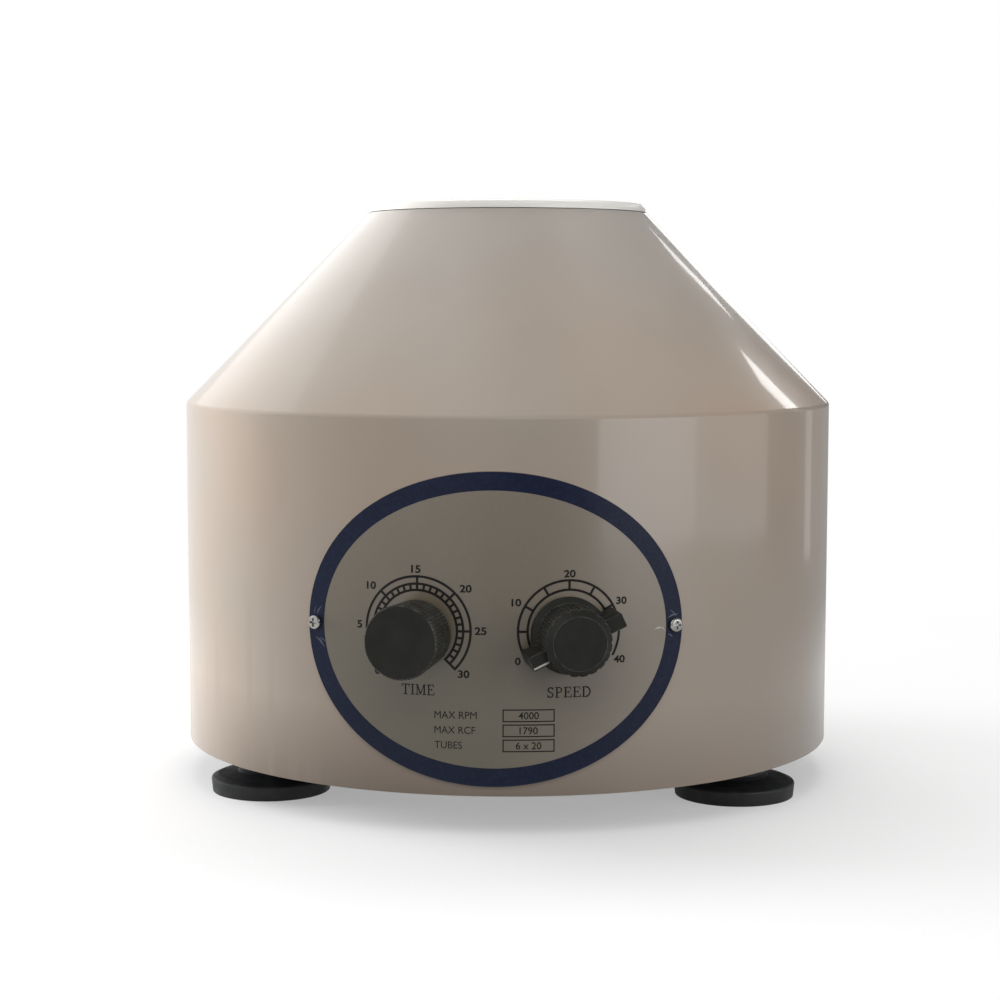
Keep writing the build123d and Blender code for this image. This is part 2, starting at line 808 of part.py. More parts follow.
def make_cooling_fan():
    """Flat fan above the armature, blades standing on a disc."""
    low = core_top + coil_end + 1.0
    fan = rod(armature_radius + 6, low, low + 1.2)
    fan += rod(shaft_radius + 3, low, low + 5)
    blade = Pos((armature_radius + 14) / 2, 0, 0) * block(armature_radius - 2, 1.0, low, low + 4)
    for index in range(9):
        fan += Rot(0, 0, 40.0 * index) * blade
    return fan - rod(shaft_radius, low - 1, low + 9)


shaft_bottom = lower_bearing_z + 0.5
hub_bottom = bowl_floor + lift_gap + 2.0
hub_top_under = rotor_point(flange_under, 0)[1] - rotor_point(flange_under, 0)[0]
hub_top = hub_top_under + hub_radius + hub_above_plate
washer_top = hub_top + 1.5
shaft_top = washer_top + rotor_nut_height + 2.0


def make_motor_shaft():
    """Steel shaft from the lower bearing up through the rotor's hub to the rotor nut."""
    shaft = rod(shaft_radius, shaft_bottom, shaft_top)
    return chamfer(shaft.faces().sort_by(Axis.Z)[-1].edges(), 0.8)


def make_chamber_bowl():
    """Dished floor of the rotor chamber with an upstand round the shaft and a turned-out lip."""
    lip_z = bowl_bottom + bowl_depth
    hole = shaft_radius + 5.0
    outline = [
        (hole, bowl_bottom),
        (bowl_radius, bowl_bottom),
        (bowl_radius, lip_z),
        (bowl_radius + bowl_lip, lip_z),
        (bowl_radius + bowl_lip, lip_z + bowl_wall),
        (bowl_inner_radius, lip_z + bowl_wall),
        (bowl_inner_radius, bowl_floor),
        (hole + bowl_wall, bowl_floor),
        (hole + bowl_wall, bowl_floor + 4.0),
        (hole, bowl_floor + 4.0),
    ]
    rounds = [
        (bowl_corner + bowl_wall, (bowl_radius, bowl_bottom)),
        (bowl_corner, (bowl_inner_radius, bowl_floor)),
    ]
    bowl = lathe(outline, rounds)
    for cut in around(rod(m4_radius + hole_gap, bowl_bottom - 1, bowl_floor + 1), post_circle, post_angles):
        bowl -= cut
    return bowl


def make_deck_posts():
    """Hexagonal pillars from the base plate to the bowl, tapped at both ends."""
    post = hexagon(2 * post_radius, plate_top, bowl_bottom)
    post -= rod(m4_radius, plate_top - 1, plate_top + post_screw_depth)
    post -= rod(m4_radius, bowl_bottom - post_screw_depth, bowl_bottom + 1)
    return group(around(post, post_circle, post_angles))


def make_rotor_head():
    """Turned head: hub, sloping top plate, skin and lower ring, with a drilled flat seat for each sleeve."""
    ring_top = flange_under - rotor_ring_depth
    ring_under = ring_top - rotor_plate
    under_slope = rotor_point(plate_under, 0)[1] - rotor_point(plate_under, 0)[0]
    rim = rotor_point(flange_under, skin_outside)
    foot_corner = rotor_point(ring_under, skin_outside)
    ring_in_low = rotor_point(ring_under, -sleeve_radius - 3)
    ring_in_high = rotor_point(ring_top, -sleeve_radius - 3)
    outline = [
        (0, hub_bottom),
        (hub_radius, hub_bottom),
        (hub_radius, under_slope + hub_radius),
        rotor_point(plate_under, skin_inside),
        rotor_point(ring_top, skin_inside),
        ring_in_high,
        ring_in_low,
        foot_corner,
        rim,
        (hub_radius, hub_top_under + hub_radius),
        (hub_radius, hub_top),
        (0, hub_top),
    ]
    rounds = [
        (2.0, foot_corner),
        (1.6, rim),
        (1.0, ring_in_low),
        (1.0, ring_in_high),
        (1.0, (hub_radius, hub_bottom)),
    ]
    head = lathe(outline, rounds)
    head -= rod(shaft_radius, hub_bottom - 1, hub_top + 1)
    hole = rod(sleeve_radius + 0.1, 0, sleeve_depth + 20)
    hole += rod(sleeve_flange_radius + hole_gap, flange_under, sleeve_depth + 8)
    for angle in tube_angles:
        head -= socket_plane(angle) * hole
    return head


def make_tube_sleeve():
    """Plastic socket: a flange on the rotor's top plate, and a stepped floor that holds a cushion."""
    low = -sleeve_bottom
    outline = [
        (0, low),
        (sleeve_radius, low),
        (sleeve_radius, flange_under),
        (sleeve_flange_radius, flange_under),
        (sleeve_flange_radius, sleeve_depth),
        (tube_bore_radius, sleeve_depth),
        (tube_bore_radius, 0),
        (cushion_radius, 0),
        (cushion_radius, -cushion_thickness),
        (0, -cushion_thickness),
    ]
    rounds = [(sleeve_corner - 0.01, (sleeve_radius, low)), (0.8, (sleeve_flange_radius, sleeve_depth))]
    return lathe(outline, rounds)


def make_tube_sleeves():
    """One sleeve in each of the rotor's holes."""
    sleeve = make_tube_sleeve()
    return group([socket_plane(angle) * sleeve for angle in tube_angles])


def make_sleeve_cushions():
    """Rubber pads under the tubes."""
    pad = rod(cushion_radius, -cushion_thickness, -0.1)
    return group([socket_plane(angle) * pad for angle in tube_angles])


def make_rotor_nut():
    """Washer and hexagon nut that hold the rotor down."""
    bore = rod(shaft_radius, hub_top - 1, shaft_top + 1)
    washer = rod(9.0, hub_top, washer_top) - bore
    nut_top = washer_top + rotor_nut_height
    flat_half = rotor_nut_flats / 2
    nut = hexagon(rotor_nut_flats, washer_top, nut_top)
    skirt = flat_half + 2 * rotor_nut_height
    dome = lathe([(0, washer_top), (skirt, washer_top), (flat_half, nut_top), (0, nut_top)])
    return group(washer, (nut & dome) - bore)


def make_lid_shell():
    """Low round lid with a sunk middle, a locating skirt and a hinge lug."""
    under = lid_top - lid_wall
    slope = lid_dish_depth * 0.75
    outline = [
        (0, dish_floor),
        (lid_dish_radius - slope, dish_floor),
        (lid_dish_radius, lid_top),
        (mouth_outer_radius, lid_top),
        (mouth_outer_radius, lid_bottom),
        (skirt_radius, lid_bottom),
        (skirt_radius, mouth_z - lid_skirt_depth),
        (skirt_radius - lid_skirt_wall, mouth_z - lid_skirt_depth),
        (skirt_radius - lid_skirt_wall, under),
        (lid_dish_radius + lid_wall, under),
        (lid_dish_radius - slope + lid_wall, dish_floor - lid_wall),
        (0, dish_floor - lid_wall),
    ]
    rounds = [
        (lid_edge_round, (mouth_outer_radius, lid_top)),
        (2.5, (lid_dish_radius, lid_top)),
        (2.5, (lid_dish_radius - slope, dish_floor)),
    ]
    lid = lathe(outline, rounds)
    lug_low = lid_bottom + 0.4
    lug_high = lid_top - 0.5
    lug_start = skirt_radius - lid_skirt_wall
    lug = block(2 * lid_knuckle_half_width, hinge_y - lug_start, lug_low, lug_high)
    lid += Pos(0, (lug_start + hinge_y) / 2, 0) * lug
    lid += pin_line(knuckle_radius, lid_knuckle_half_width)
    lid -= pin_line(hinge_pin_radius + running_fit, hinge_half_width)
    lid -= rod(2.0, dish_floor - lid_wall - 1, dish_floor + 1)
    lid -= gasket_groove()
    return lid


def gasket_groove():
    """Room for the seal in the lid's edge."""
    return ring(mouth_outer_radius - 0.9, mouth_inner_radius + 0.7, lid_bottom - 1, lid_bottom + 1.2)


def make_lid_gasket():
    """Thin rubber seal above the housing's rim."""
    return ring(mouth_outer_radius - 0.9, mouth_inner_radius + 0.7, lid_bottom, lid_bottom + 1.2)


def make_lid_knob():
    """Low turned pull in the lid's sunk middle, with a stem through the lid."""
    top = dish_floor + lid_knob_height
    head_low = dish_floor + lid_knob_height * 0.55
    outline = [
        (0, dish_floor - lid_wall - 2.0),
        (4.5, dish_floor - lid_wall - 2.0),
        (4.5, dish_floor - lid_wall),
        (2.0, dish_floor - lid_wall),
        (2.0, dish_floor),
        (8.5, dish_floor),
        (6.5, head_low - 1.5),
        (lid_knob_radius, head_low),
        (lid_knob_radius, top),
        (0, top),
    ]
    rounds = [(1.8, (lid_knob_radius, top)), (1.0, (lid_knob_radius, head_low)), (1.2, (6.5, head_low - 1.5))]
    return lathe(outline, rounds)


def hinge_plane():
    """Plane on the cone behind the mouth: Y runs up the slope and ends at the rim."""
    return Plane(origin=(0, mouth_outer_radius, mouth_z), x_dir=(-1, 0, 0), z_dir=(0, normal_out, normal_up))


def pin_line(radius, half_length):
    """Cylinder along the hinge's axis."""
    return Pos(0, hinge_y, hinge_z) * Rot(0, 90, 0) * Cylinder(radius, 2 * half_length)


def make_hinge_base():
    """Leaf that follows the cone, with a knuckle at each side for the lid's pin."""
    place = hinge_plane()
    middle = -hinge_leaf_length / 2 - hinge_leaf_start
    leaf = Pos(0, middle, 0) * block(2 * hinge_half_width, hinge_leaf_length, -8.0, hinge_leaf)
    leaf = fillet(leaf.edges().filter_by(Axis.Z), 2.0)
    knuckle_length = hinge_half_width - lid_knuckle_half_width - loose_gap
    base = place * leaf
    for side in (-1, 1):
        spot = Pos(side * (hinge_half_width - knuckle_length / 2), hinge_y, hinge_z)
        base += spot * Rot(0, 90, 0) * Cylinder(knuckle_radius, knuckle_length)
    base -= lathe([(0, shoulder_z), (body_radius, shoulder_z), (mouth_outer_radius, mouth_z), (0, mouth_z)])
    base -= pin_line(knuckle_radius + 0.4, lid_knuckle_half_width + loose_gap)
    base -= rod(mouth_outer_radius + 0.6, mouth_z - 2, mouth_z + 10)
    base -= pin_line(hinge_pin_radius, 2 * hinge_half_width)
    hole = rod(m3_radius + hole_gap, -9, 9) + rod(m3_head_radius + hole_gap, hinge_leaf - screw_sink, 9)
    for side in (-hinge_screw_side, hinge_screw_side):
        base -= place * Pos(side, -hinge_screw_down, 0) * hole
    return base


def make_hinge_pin():
    """Steel pin through the three knuckles."""
    return pin_line(hinge_pin_radius, hinge_half_width)


def make_control_panel():
    """Thin oval plate bent to the wall, drilled for two bushes and two screws."""
    panel = wrapped_oval(panel_half_arc, panel_half_height, body_radius, body_radius + panel_thickness)
    for arc in (-dial_arc, dial_arc):
        panel -= wall_plane(arc, dial_z) * rod(bush_radius + hole_gap, -5, 5)
    for arc in (-panel_screw_arc, panel_screw_arc):
        panel -= wall_plane(arc, panel_z) * rod(m3_radius + hole_gap, -5, 5)
    return panel


def make_panel_screws():
    """Two cross-head screws through the panel into the wall's bosses."""
    screw = pan_screw(m3_head_radius, m3_head, m3_radius, shell + panel_thickness + 3.0)
    lift = Pos(0, 0, panel_thickness)
    return group([wall_plane(arc, panel_z) * lift * screw for arc in (-panel_screw_arc, panel_screw_arc)])


def control_front(width):
    """Height of a flat control body's face behind the wall, where its sides meet the panel."""
    return sqrt(body_radius**2 - (width / 2) ** 2) - body_radius - 0.1


def bush(front):
    """Threaded bush of a control, from its face out past the panel."""
    return rod(bush_radius, front - 1, bush_reach)


def make_timer_body():
    """Thirty-minute timer in a moulded box."""
    front = control_front(timer_width)
    case = block(timer_width, timer_height, front - timer_depth, front)
    case = fillet(case.edges().filter_by(Axis.Z), 3.0)
    case += Pos(0, -timer_height / 4, 0) * block(8.0, 6.0, front - timer_depth - 4, front - timer_depth + 1)
    case += bush(front)
    case -= rod(control_shaft_radius + running_fit, front - timer_depth * 0.7, bush_reach + 1)
    return wall_plane(-dial_arc, dial_z) * case


def make_speed_pot():
    """Round speed control with three solder tags."""
    front = control_front(2 * speed_pot_radius)
    case = rod(speed_pot_radius, front - speed_pot_depth, front)
    tag_middle = tag_length / 2 - tag_reach - speed_pot_radius
    for offset in (-5.0, 0.0, 5.0):
        case += Pos(offset, tag_middle, 0) * block(2.0, tag_length, front - 6.0, front - 4.8)
    case += bush(front)
    case -= rod(control_shaft_radius + running_fit, front - speed_pot_depth * 0.8, bush_reach + 1)
    return wall_plane(dial_arc, dial_z) * case


def make_control_nuts():
    """Nuts that clamp the panel to both controls."""
    low = panel_thickness
    nut = hexagon(control_nut_flats, low, low + control_nut_height) - rod(bush_radius, 0, 9)
    return group([wall_plane(arc, dial_z) * nut for arc in (-dial_arc, dial_arc)])


knob_base = panel_thickness + knob_gap
spindle_end = knob_base + timer_knob_height * 0.75


def make_control_shaft(arc, start):
    """Spindle from inside a control's body to the middle of its knob."""
    return wall_plane(arc, dial_z) * rod(control_shaft_radius, start, spindle_end)


def make_timer_shaft():
    """Spindle of the timer."""
    return make_control_shaft(-dial_arc, control_front(timer_width) - timer_depth * 0.65)


def make_speed_shaft():
    """Spindle of the speed control."""
    return make_control_shaft(dial_arc, control_front(2 * speed_pot_radius) - speed_pot_depth * 0.7)


def rib_outline(radius, depth, count):
    """Round outline that runs in and out, one rib at a time."""
    points = []
    for index in range(count):
        for step, size in ((0.0, radius - depth), (0.25, radius), (0.75, radius)):
            turn = 2 * pi * (index + step) / count
            points.append((size * cos(turn), size * sin(turn)))
    return make_face(Polyline(*points, close=True))


def ribbed(radius, depth, count, low, high, taper=0.0):
    """Ribbed knob body, narrower at its base by the taper."""
    base = Pos(0, 0, low) * rib_outline(radius - taper, depth, count)
    face = Pos(0, 0, high) * rib_outline(radius, depth, count)
    return loft([base, face], ruled=True)


def bevelled(radius, bevel, low, high):
    """Envelope that takes the corner off a ribbed knob's face."""
    side = radius + 1
    return lathe([(0, low), (side, low), (side, high - bevel - 1), (radius - bevel, high), (0, high)])


def knob_hollow():
    """Room for the nut and the shaft inside a knob."""
    nut_room = rod(control_nut_flats / 2 + 3.0, knob_base - 1, bush_reach + 1)
    return nut_room + rod(control_shaft_radius, knob_base, spindle_end)


def make_timer_knob():
    """Plain round knob with a finely ribbed side and a flat face."""
    top = knob_base + timer_knob_height
    knob = ribbed(timer_knob_radius, rib_depth, timer_knob_ribs, knob_base, top, timer_knob_taper)
    knob &= bevelled(timer_knob_radius, timer_knob_bevel, knob_base, top)
    knob -= knob_hollow()
    return wall_plane(-dial_arc, dial_z) * knob


def make_speed_knob():
    """Fluted grip on a round skirt, with a pointer bar right across it."""
    top = knob_base + speed_knob_height
    skirt_top = knob_base + speed_skirt_height
    knob = ribbed(speed_grip_radius, flute_depth, speed_knob_flutes, knob_base, top)
    knob &= bevelled(speed_grip_radius, speed_knob_bevel, knob_base, top)
    shoulder = (speed_skirt_radius, skirt_top - 1.2)
    skirt = [
        (0, knob_base),
        (speed_skirt_radius, knob_base),
        shoulder,
        (speed_grip_radius, skirt_top),
        (0, skirt_top),
    ]
    knob += lathe(skirt, [(0.8, shoulder)])
    bar_top = top - pointer_below_face
    bar = block(2 * pointer_half_length, pointer_width, knob_base, bar_top)
    bar = fillet(bar.edges().filter_by(Axis.Z), pointer_corner)
    knob += Rot(0, 0, pointer_at_zero) * bar
    knob -= knob_hollow()
    return wall_plane(dial_arc, dial_z) * knob


def board_place():
    """The board lies beside the motor, on the +X side."""
    return Pos(motor_plate_radius + board_gap + board_width / 2, 6.0, 0)


def board_corners():
    """The four screw places, from the board's middle."""
    x = board_width / 2 - 4
    y = board_length / 2 - 4
    return [(-x, -y), (x, -y), (-x, y), (x, y)]


board_bottom = plate_top + board_standoff
board_top = board_bottom + board_thickness


def make_control_board():
    """Circuit board on four standoffs."""
    board = block(board_width, board_length, board_bottom, board_top)
    for x, y in board_corners():
        board -= Pos(x, y, 0) * rod(1.2, board_bottom - 1, board_top + 1)
    return board_place() * board


def make_heatsink():
    """Finned aluminium block that cools the speed control's power switch."""
    sink = Pos(-12, -10, 0) * block(16.0, 30.0, board_top, board_top + 3)
    for index in range(5):
        sink += Pos(-19 + 3.5 * index, -10, 0) * block(1.4, 30.0, board_top, board_top + 24)
    return board_place() * sink


def make_board_parts():
    """Standoffs under the board; a capacitor, a terminal block and a relay on it."""
    posts = []
    for x, y in board_corners():
        post = rod(3.0, plate_top, board_bottom) + rod(1.0, plate_bottom, plate_top)
        post += rod(1.2, board_bottom, board_top) + rod(2.2, board_top, board_top + 1.4)
        posts.append(Pos(x, y, 0) * post)
    capacitor = Pos(10, -16, 0) * rod(8.0, board_top, board_top + 26)
    capacitor = fillet(capacitor.edges().sort_by(Axis.Z)[-1], 1.2)
    terminals = Pos(-2, 26, 0) * block(24.0, 10.0, board_top, board_top + 11)
    for index in range(4):
        terminals -= Pos(-11 + 6 * index, 26, 0) * rod(1.8, board_top + 8, board_top + 12)
    relay = Pos(8, 8, 0) * block(18.0, 15.0, board_top, board_top + 15)
    return group([board_place() * piece for piece in posts + [capacitor, terminals, relay]])


def make_mains_inlet():
    """Three-pin appliance inlet: a flange outside, a deep socket behind."""
    flange = extrude(SlotOverall(50.0, 22.5), inlet_flange)
    flange += block(32.0, 24.0, 0, inlet_flange)
    body = block(inlet_width, inlet_height, -19.0, 0)
    socket = block(inlet_width - 3.5, inlet_height - 3.5, -16.0, inlet_flange + 1)
    corner = [edge for edge in socket.edges().filter_by(Axis.Z) if edge.center().Y > 0]
    inlet = flange + body - chamfer(corner, 4.0)
    for x, y in pin_spots():
        inlet -= Pos(x, y, 0) * block(4.0, 2.0, -20.0, -15.0)
    hole = rod(m3_radius + hole_gap, -1, 9) + rod(m3_head_radius + loose_gap, inlet_flange - screw_sink, 9)
    for side in (-inlet_screw_side, inlet_screw_side):
        inlet -= Pos(side, 0, 0) * hole
    return rear_plane(inlet_offset) * inlet


def pin_spots():
    """Places of the three pins in the socket."""
    return [(-7.0, -2.0), (7.0, -2.0), (0.0, 2.0)]


def make_inlet_pins():
    """Flat brass pins, each with a tail for a push-on terminal."""
    pin = block(4.0, 2.0, -26.0, -1.5)
    pin = chamfer(pin.faces().sort_by(Axis.Z)[-1].edges(), 0.5)
    return group([rear_plane(inlet_offset) * Pos(x, y, 0) * pin for x, y in pin_spots()])


def make_fuse_holder():
    """Round holder behind the rear face, open at its mouth for the cap's stem."""
    holder = rod(fuse_body_radius, -28.0, 0) + rod(fuse_body_radius + 2, 0, fuse_collar)
    holder -= rod(fuse_stem_radius + loose_gap, -24.0, 3)
    return rear_plane(fuse_offset) * holder


def make_fuse_cap():
    """Ribbed cap with a coin slot and a hollow stem that carries the fuse."""
    low = fuse_collar + loose_gap
    top = low + fuse_cap_reach
    cap = ribbed(fuse_cap_radius, 0.4, 20, low, top)
    cap &= bevelled(fuse_cap_radius, 1.0, low, top)
    cap += rod(fuse_stem_radius, -12.0, low)
    cap -= rod(fuse_radius, -13.0, -4.0)
    cap -= block(9.0, 1.4, top - 1.6, top + 1)
    return rear_plane(fuse_offset) * cap


def make_fuse_link():
    """Glass fuse held in the cap's stem."""
    return rear_plane(fuse_offset) * rod(fuse_radius, -23.5, -4.0)


rocker_pivot = -2.5
rocker_tilt = 8.0


def make_switch_body():
    """Snap-in switch body with a raised frame."""
    frame = block(switch_width + 2, switch_height + 2, 0, 2.0)
    frame = fillet(frame.edges().filter_by(Axis.Z), 1.5)
    body = frame + block(switch_width, switch_height, -switch_depth, 0)
    body -= block(switch_width - 2, switch_height - 1.6, 3 - switch_depth, 3)
    for x in (-3.0, 3.0):
        body += Pos(x, 0, 0) * block(4.8, 0.8, -switch_depth - 7, -switch_depth)
    return rear_plane(switch_offset) * body


def make_switch_rocker():
    """Rocker that tips about a level axis; at rest its lower half stands out."""
    half = (switch_height - 1.6) / 2 - 1.1
    width = switch_width - 2.6
    proud = 3.6 - rocker_pivot
    side = make_face(
        Polyline(
            (-half, proud),
            (0, proud - half * sin(radians(rocker_tilt))),
            (half, proud),
            (half - 0.6, -1.5),
            (2.0, -4.5),
            (-2.0, -4.5),
            (-half + 0.6, -1.5),
            close=True,
        )
    )
    rocker = Plane.YZ * Pos(0, 0, -width / 2) * extrude(side, width)
    rocker = Pos(0, 0, rocker_pivot) * Rot(-rocker_tilt, 0, 0) * rocker
    return rear_plane(switch_offset) * rocker


def lead(points, radius):
    """Insulated lead through some points, each corner rounded as far as its shorter run allows."""
    corners = []
    for before, here, after in zip(points, points[1:], points[2:]):
        first = Vector(*here) - Vector(*before)
        second = Vector(*after) - Vector(*here)
        turn = radians(first.get_angle(second))
        corners.append(0.45 * min(first.length, second.length) / (sin(turn / 2) / cos(turn / 2)))
    path = FilletPolyline(*points, radius=corners)
    section = Plane(origin=path @ 0, z_dir=path % 0) * Circle(radius)
    return sweep(section, path)


# leads inside the housing, each a run of points with straight ends at its two terminals
lead_radius = 1.0
tag_end = dial_z - speed_pot_radius - tag_reach
inlet_to_fuse = [(15, 124, 55), (15, 110, 55), (-14, 110, 57), (-14, 122, 57)]
switch_to_board = [
    (-33, 129, 57),
    (-33, 104, 58),
    (20, 100, 62),
    (62, 105, 62),
    (108, 66, 60),
    (99, 36, 60),
    (99, 32, 47),
]
board_to_motor = [(93, 32, 47), (93, 32, 60), (72, 12, 58), (60, 0, 54.25), (40, 0, 54.25)]
board_to_speed = [
    (108, -20, 36),
    (108, -24, 52),
    (100, -72, 54),
    (66, -106, 50),
    (29, -130, 46),
    (27.4, -131.2, tag_end - 0.65),
]


def make_wiring():
    """The four leads inside the housing."""
    routes = (inlet_to_fuse, switch_to_board, board_to_motor, board_to_speed)
    return group([lead(route, lead_radius) for route in routes])


pieces = {
    "wiring": make_wiring,
    "housing": make_housing,
    "base_plate": make_base_plate,
    "rear_frame": make_rear_frame,
    "case_screws": make_case_screws,
    "foot_studs": make_foot_studs,
    "foot_nuts": make_foot_nuts,
    "motor_isolators": make_motor_isolators,
    "isolator_bolts": make_isolator_bolts,
    "motor_plate": make_motor_plate,
    "frame_screws": make_frame_screws,
    "motor_can": make_motor_can,
    "motor_lower_cap": make_motor_lower_cap,
    "motor_upper_cap": make_motor_upper_cap,
    "motor_tie_rods": make_motor_tie_rods,
    "stator_core": make_stator_core,
    "field_coils": make_field_coils,
    "brush_holders": make_brush_holders,
    "carbon_brushes": make_carbon_brushes,
    "brush_springs": make_brush_springs,
    "bearing_outer_rings": make_bearing_outer_rings,
    "deck_posts": make_deck_posts,
    "chamber_bowl": make_chamber_bowl,
    "control_panel": make_control_panel,
    "panel_screws": make_panel_screws,
    "control_nuts": make_control_nuts,
    "timer_body": make_timer_body,
    "speed_pot": make_speed_pot,
    "control_board": make_control_board,
    "heatsink": make_heatsink,
    "board_parts": make_board_parts,
    "mains_inlet": make_mains_inlet,
    "inlet_pins": make_inlet_pins,
    "fuse_holder": make_fuse_holder,
    "switch_body": make_switch_body,
    "hinge_base": make_hinge_base,
    "hinge_pin": make_hinge_pin,
    "lid_shell": make_lid_shell,
    "lid_knob": make_lid_knob,
    "lid_gasket": make_lid_gasket,
    "motor_shaft": make_motor_shaft,
    "armature_core": make_armature_core,
    "armature_winding": make_armature_winding,
    "commutator": make_commutator,
    "cooling_fan": make_cooling_fan,
    "bearing_inner_sets": make_bearing_inner_sets,
    "rotor_head": make_rotor_head,
    "tube_sleeves": make_tube_sleeves,
    "sleeve_cushions": make_sleeve_cushions,
    "rotor_nut": make_rotor_nut,
    "timer_knob": make_timer_knob,
    "timer_shaft": make_timer_shaft,
    "speed_knob": make_speed_knob,
    "speed_shaft": make_speed_shaft,
    "fuse_cap": make_fuse_cap,
    "fuse_link": make_fuse_link,
    "switch_rocker": make_switch_rocker,
}

os.makedirs("parts", exist_ok=True)
for name, make in pieces.items():
    export_step(make(), f"parts/{name}.step")
for side, angle in foot_angles.items():
    export_step(make_foot(angle), f"parts/foot_{side}.step")
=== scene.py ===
import json
import math

import bmesh
import bpy
from mathutils import Matrix, Vector


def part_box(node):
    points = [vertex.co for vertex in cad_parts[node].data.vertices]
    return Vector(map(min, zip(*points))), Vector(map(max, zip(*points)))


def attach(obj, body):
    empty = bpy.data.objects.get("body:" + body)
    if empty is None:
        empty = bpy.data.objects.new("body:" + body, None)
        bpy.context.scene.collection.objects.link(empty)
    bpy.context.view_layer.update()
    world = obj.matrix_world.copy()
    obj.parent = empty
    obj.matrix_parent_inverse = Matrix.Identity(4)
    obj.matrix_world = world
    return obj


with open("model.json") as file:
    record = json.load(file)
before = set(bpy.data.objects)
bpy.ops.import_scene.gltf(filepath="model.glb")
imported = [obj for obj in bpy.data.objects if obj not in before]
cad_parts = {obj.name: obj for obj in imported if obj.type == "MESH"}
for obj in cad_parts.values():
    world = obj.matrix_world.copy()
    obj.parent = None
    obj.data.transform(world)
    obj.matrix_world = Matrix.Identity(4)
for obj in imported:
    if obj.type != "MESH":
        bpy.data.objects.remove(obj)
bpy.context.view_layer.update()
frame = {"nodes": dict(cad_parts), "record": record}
nodes = frame["nodes"]
print("frame loaded, nodes:", len(nodes))


# colours are written as they look on screen, 0 to 255

def tint(red, green, blue):
    def linear(value):
        value /= 255
        return value / 12.92 if value <= 0.04045 else ((value + 0.055) / 1.055) ** 2.4
    return (linear(red), linear(green), linear(blue), 1.0)


class Finish:
    # one material and short ways to wire its nodes

    def __init__(self, name, roughness=0.4, metallic=0.0, specular=0.5, coat=0.0, coatRough=0.1):
        self.material = bpy.data.materials.new(name)
        self.material.use_nodes = True
        self.tree = self.material.node_tree
        self.shader = next(n for n in self.tree.nodes if n.type == "BSDF_PRINCIPLED")
        self.shader.inputs["Roughness"].default_value = roughness
        self.shader.inputs["Metallic"].default_value = metallic
        self.shader.inputs["Specular IOR Level"].default_value = specular
        self.shader.inputs["Coat Weight"].default_value = coat
        self.shader.inputs["Coat Roughness"].default_value = coatRough
        self.coordinates = self.add("TexCoord").outputs["Object"]

    def add(self, kind, **settings):
        node = self.tree.nodes.new("ShaderNode" + kind)
        for name, value in settings.items():
            setattr(node, name, value)
        return node

    def join(self, source, target):
        self.tree.links.new(source, target)

    def stretched(self, stretch):
        mapping = self.add("Mapping")
        mapping.inputs["Scale"].default_value = stretch
        self.join(self.coordinates, mapping.inputs["Vector"])
        return mapping.outputs["Vector"]

    def place(self):
        # across and up, in metres
        split = self.add("SeparateXYZ")
        self.join(self.coordinates, split.inputs["Vector"])
        return split.outputs["X"], split.outputs["Z"]

    def noise(self, scale, detail, stretch=(1, 1, 1), warp=0.0):
        texture = self.add("TexNoise")
        texture.inputs["Scale"].default_value = scale
        texture.inputs["Detail"].default_value = detail
        texture.inputs["Distortion"].default_value = warp
        self.join(self.stretched(stretch), texture.inputs["Vector"])
        return texture.outputs["Fac"]

    def cells(self, scale, feature="F1"):
        texture = self.add("TexVoronoi", feature=feature)
        texture.inputs["Scale"].default_value = scale
        self.join(self.stretched((1, 1, 1)), texture.inputs["Vector"])
        return texture.outputs["Distance"]

    def fit(self, value, source, target=(0.0, 1.0)):
        node = self.add("MapRange")
        for name, ends in (("From ", source), ("To ", target)):
            node.inputs[name + "Min"].default_value = ends[0]
            node.inputs[name + "Max"].default_value = ends[1]
        self.join(value, node.inputs["Value"])
        return node.outputs["Result"]

    def patches(self, scale, detail, source=(0.35, 0.65), target=(0.0, 1.0)):
        # noise with more contrast, so that it falls into patches
        return self.fit(self.noise(scale, detail), source, target)

    def maths(self, operation, first, second):
        node = self.add("Math", operation=operation)
        for value, slot in ((first, node.inputs[0]), (second, node.inputs[1])):
            if isinstance(value, (int, float)):
                slot.default_value = value
            else:
                self.join(value, slot)
        return node.outputs["Value"]

    def times(self, first, second):
        return self.maths("MULTIPLY", first, second)

    def blend(self, share, first, second):
        node = self.add("Mix", data_type="RGBA")
        self.join(share, node.inputs["Factor"])
        for value, index in ((first, 6), (second, 7)):  # the mix node's colour sockets
            if isinstance(value, tuple):
                node.inputs[index].default_value = value
            else:
                self.join(value, node.inputs[index])
        return node.outputs[2]

    def edges(self, radius, reach=0.12):
        # how far a rounded edge turns from the flat, so that corners show wear
        soft = self.add("Bevel", samples=4)
        soft.inputs["Radius"].default_value = radius
        surface = self.add("NewGeometry")
        dot = self.add("VectorMath", operation="DOT_PRODUCT")
        self.join(soft.outputs["Normal"], dot.inputs[0])
        self.join(surface.outputs["Normal"], dot.inputs[1])
        return self.fit(dot.outputs["Value"], (1.0, 1.0 - reach))

    def colour(self, value):
        self.join(value, self.shader.inputs["Base Color"])

    def gloss(self, value):
        self.join(value, self.shader.inputs["Roughness"])

    def patchyGloss(self, scale, detail, roughness):
        self.gloss(self.patches(scale, detail, (0.3, 0.7), roughness))

    def relief(self, height, depth, strength):
        bump = self.add("Bump")
        bump.inputs["Distance"].default_value = depth
        bump.inputs["Strength"].default_value = strength
        self.join(height, bump.inputs["Height"])
        self.join(bump.outputs["Normal"], self.shader.inputs["Normal"])


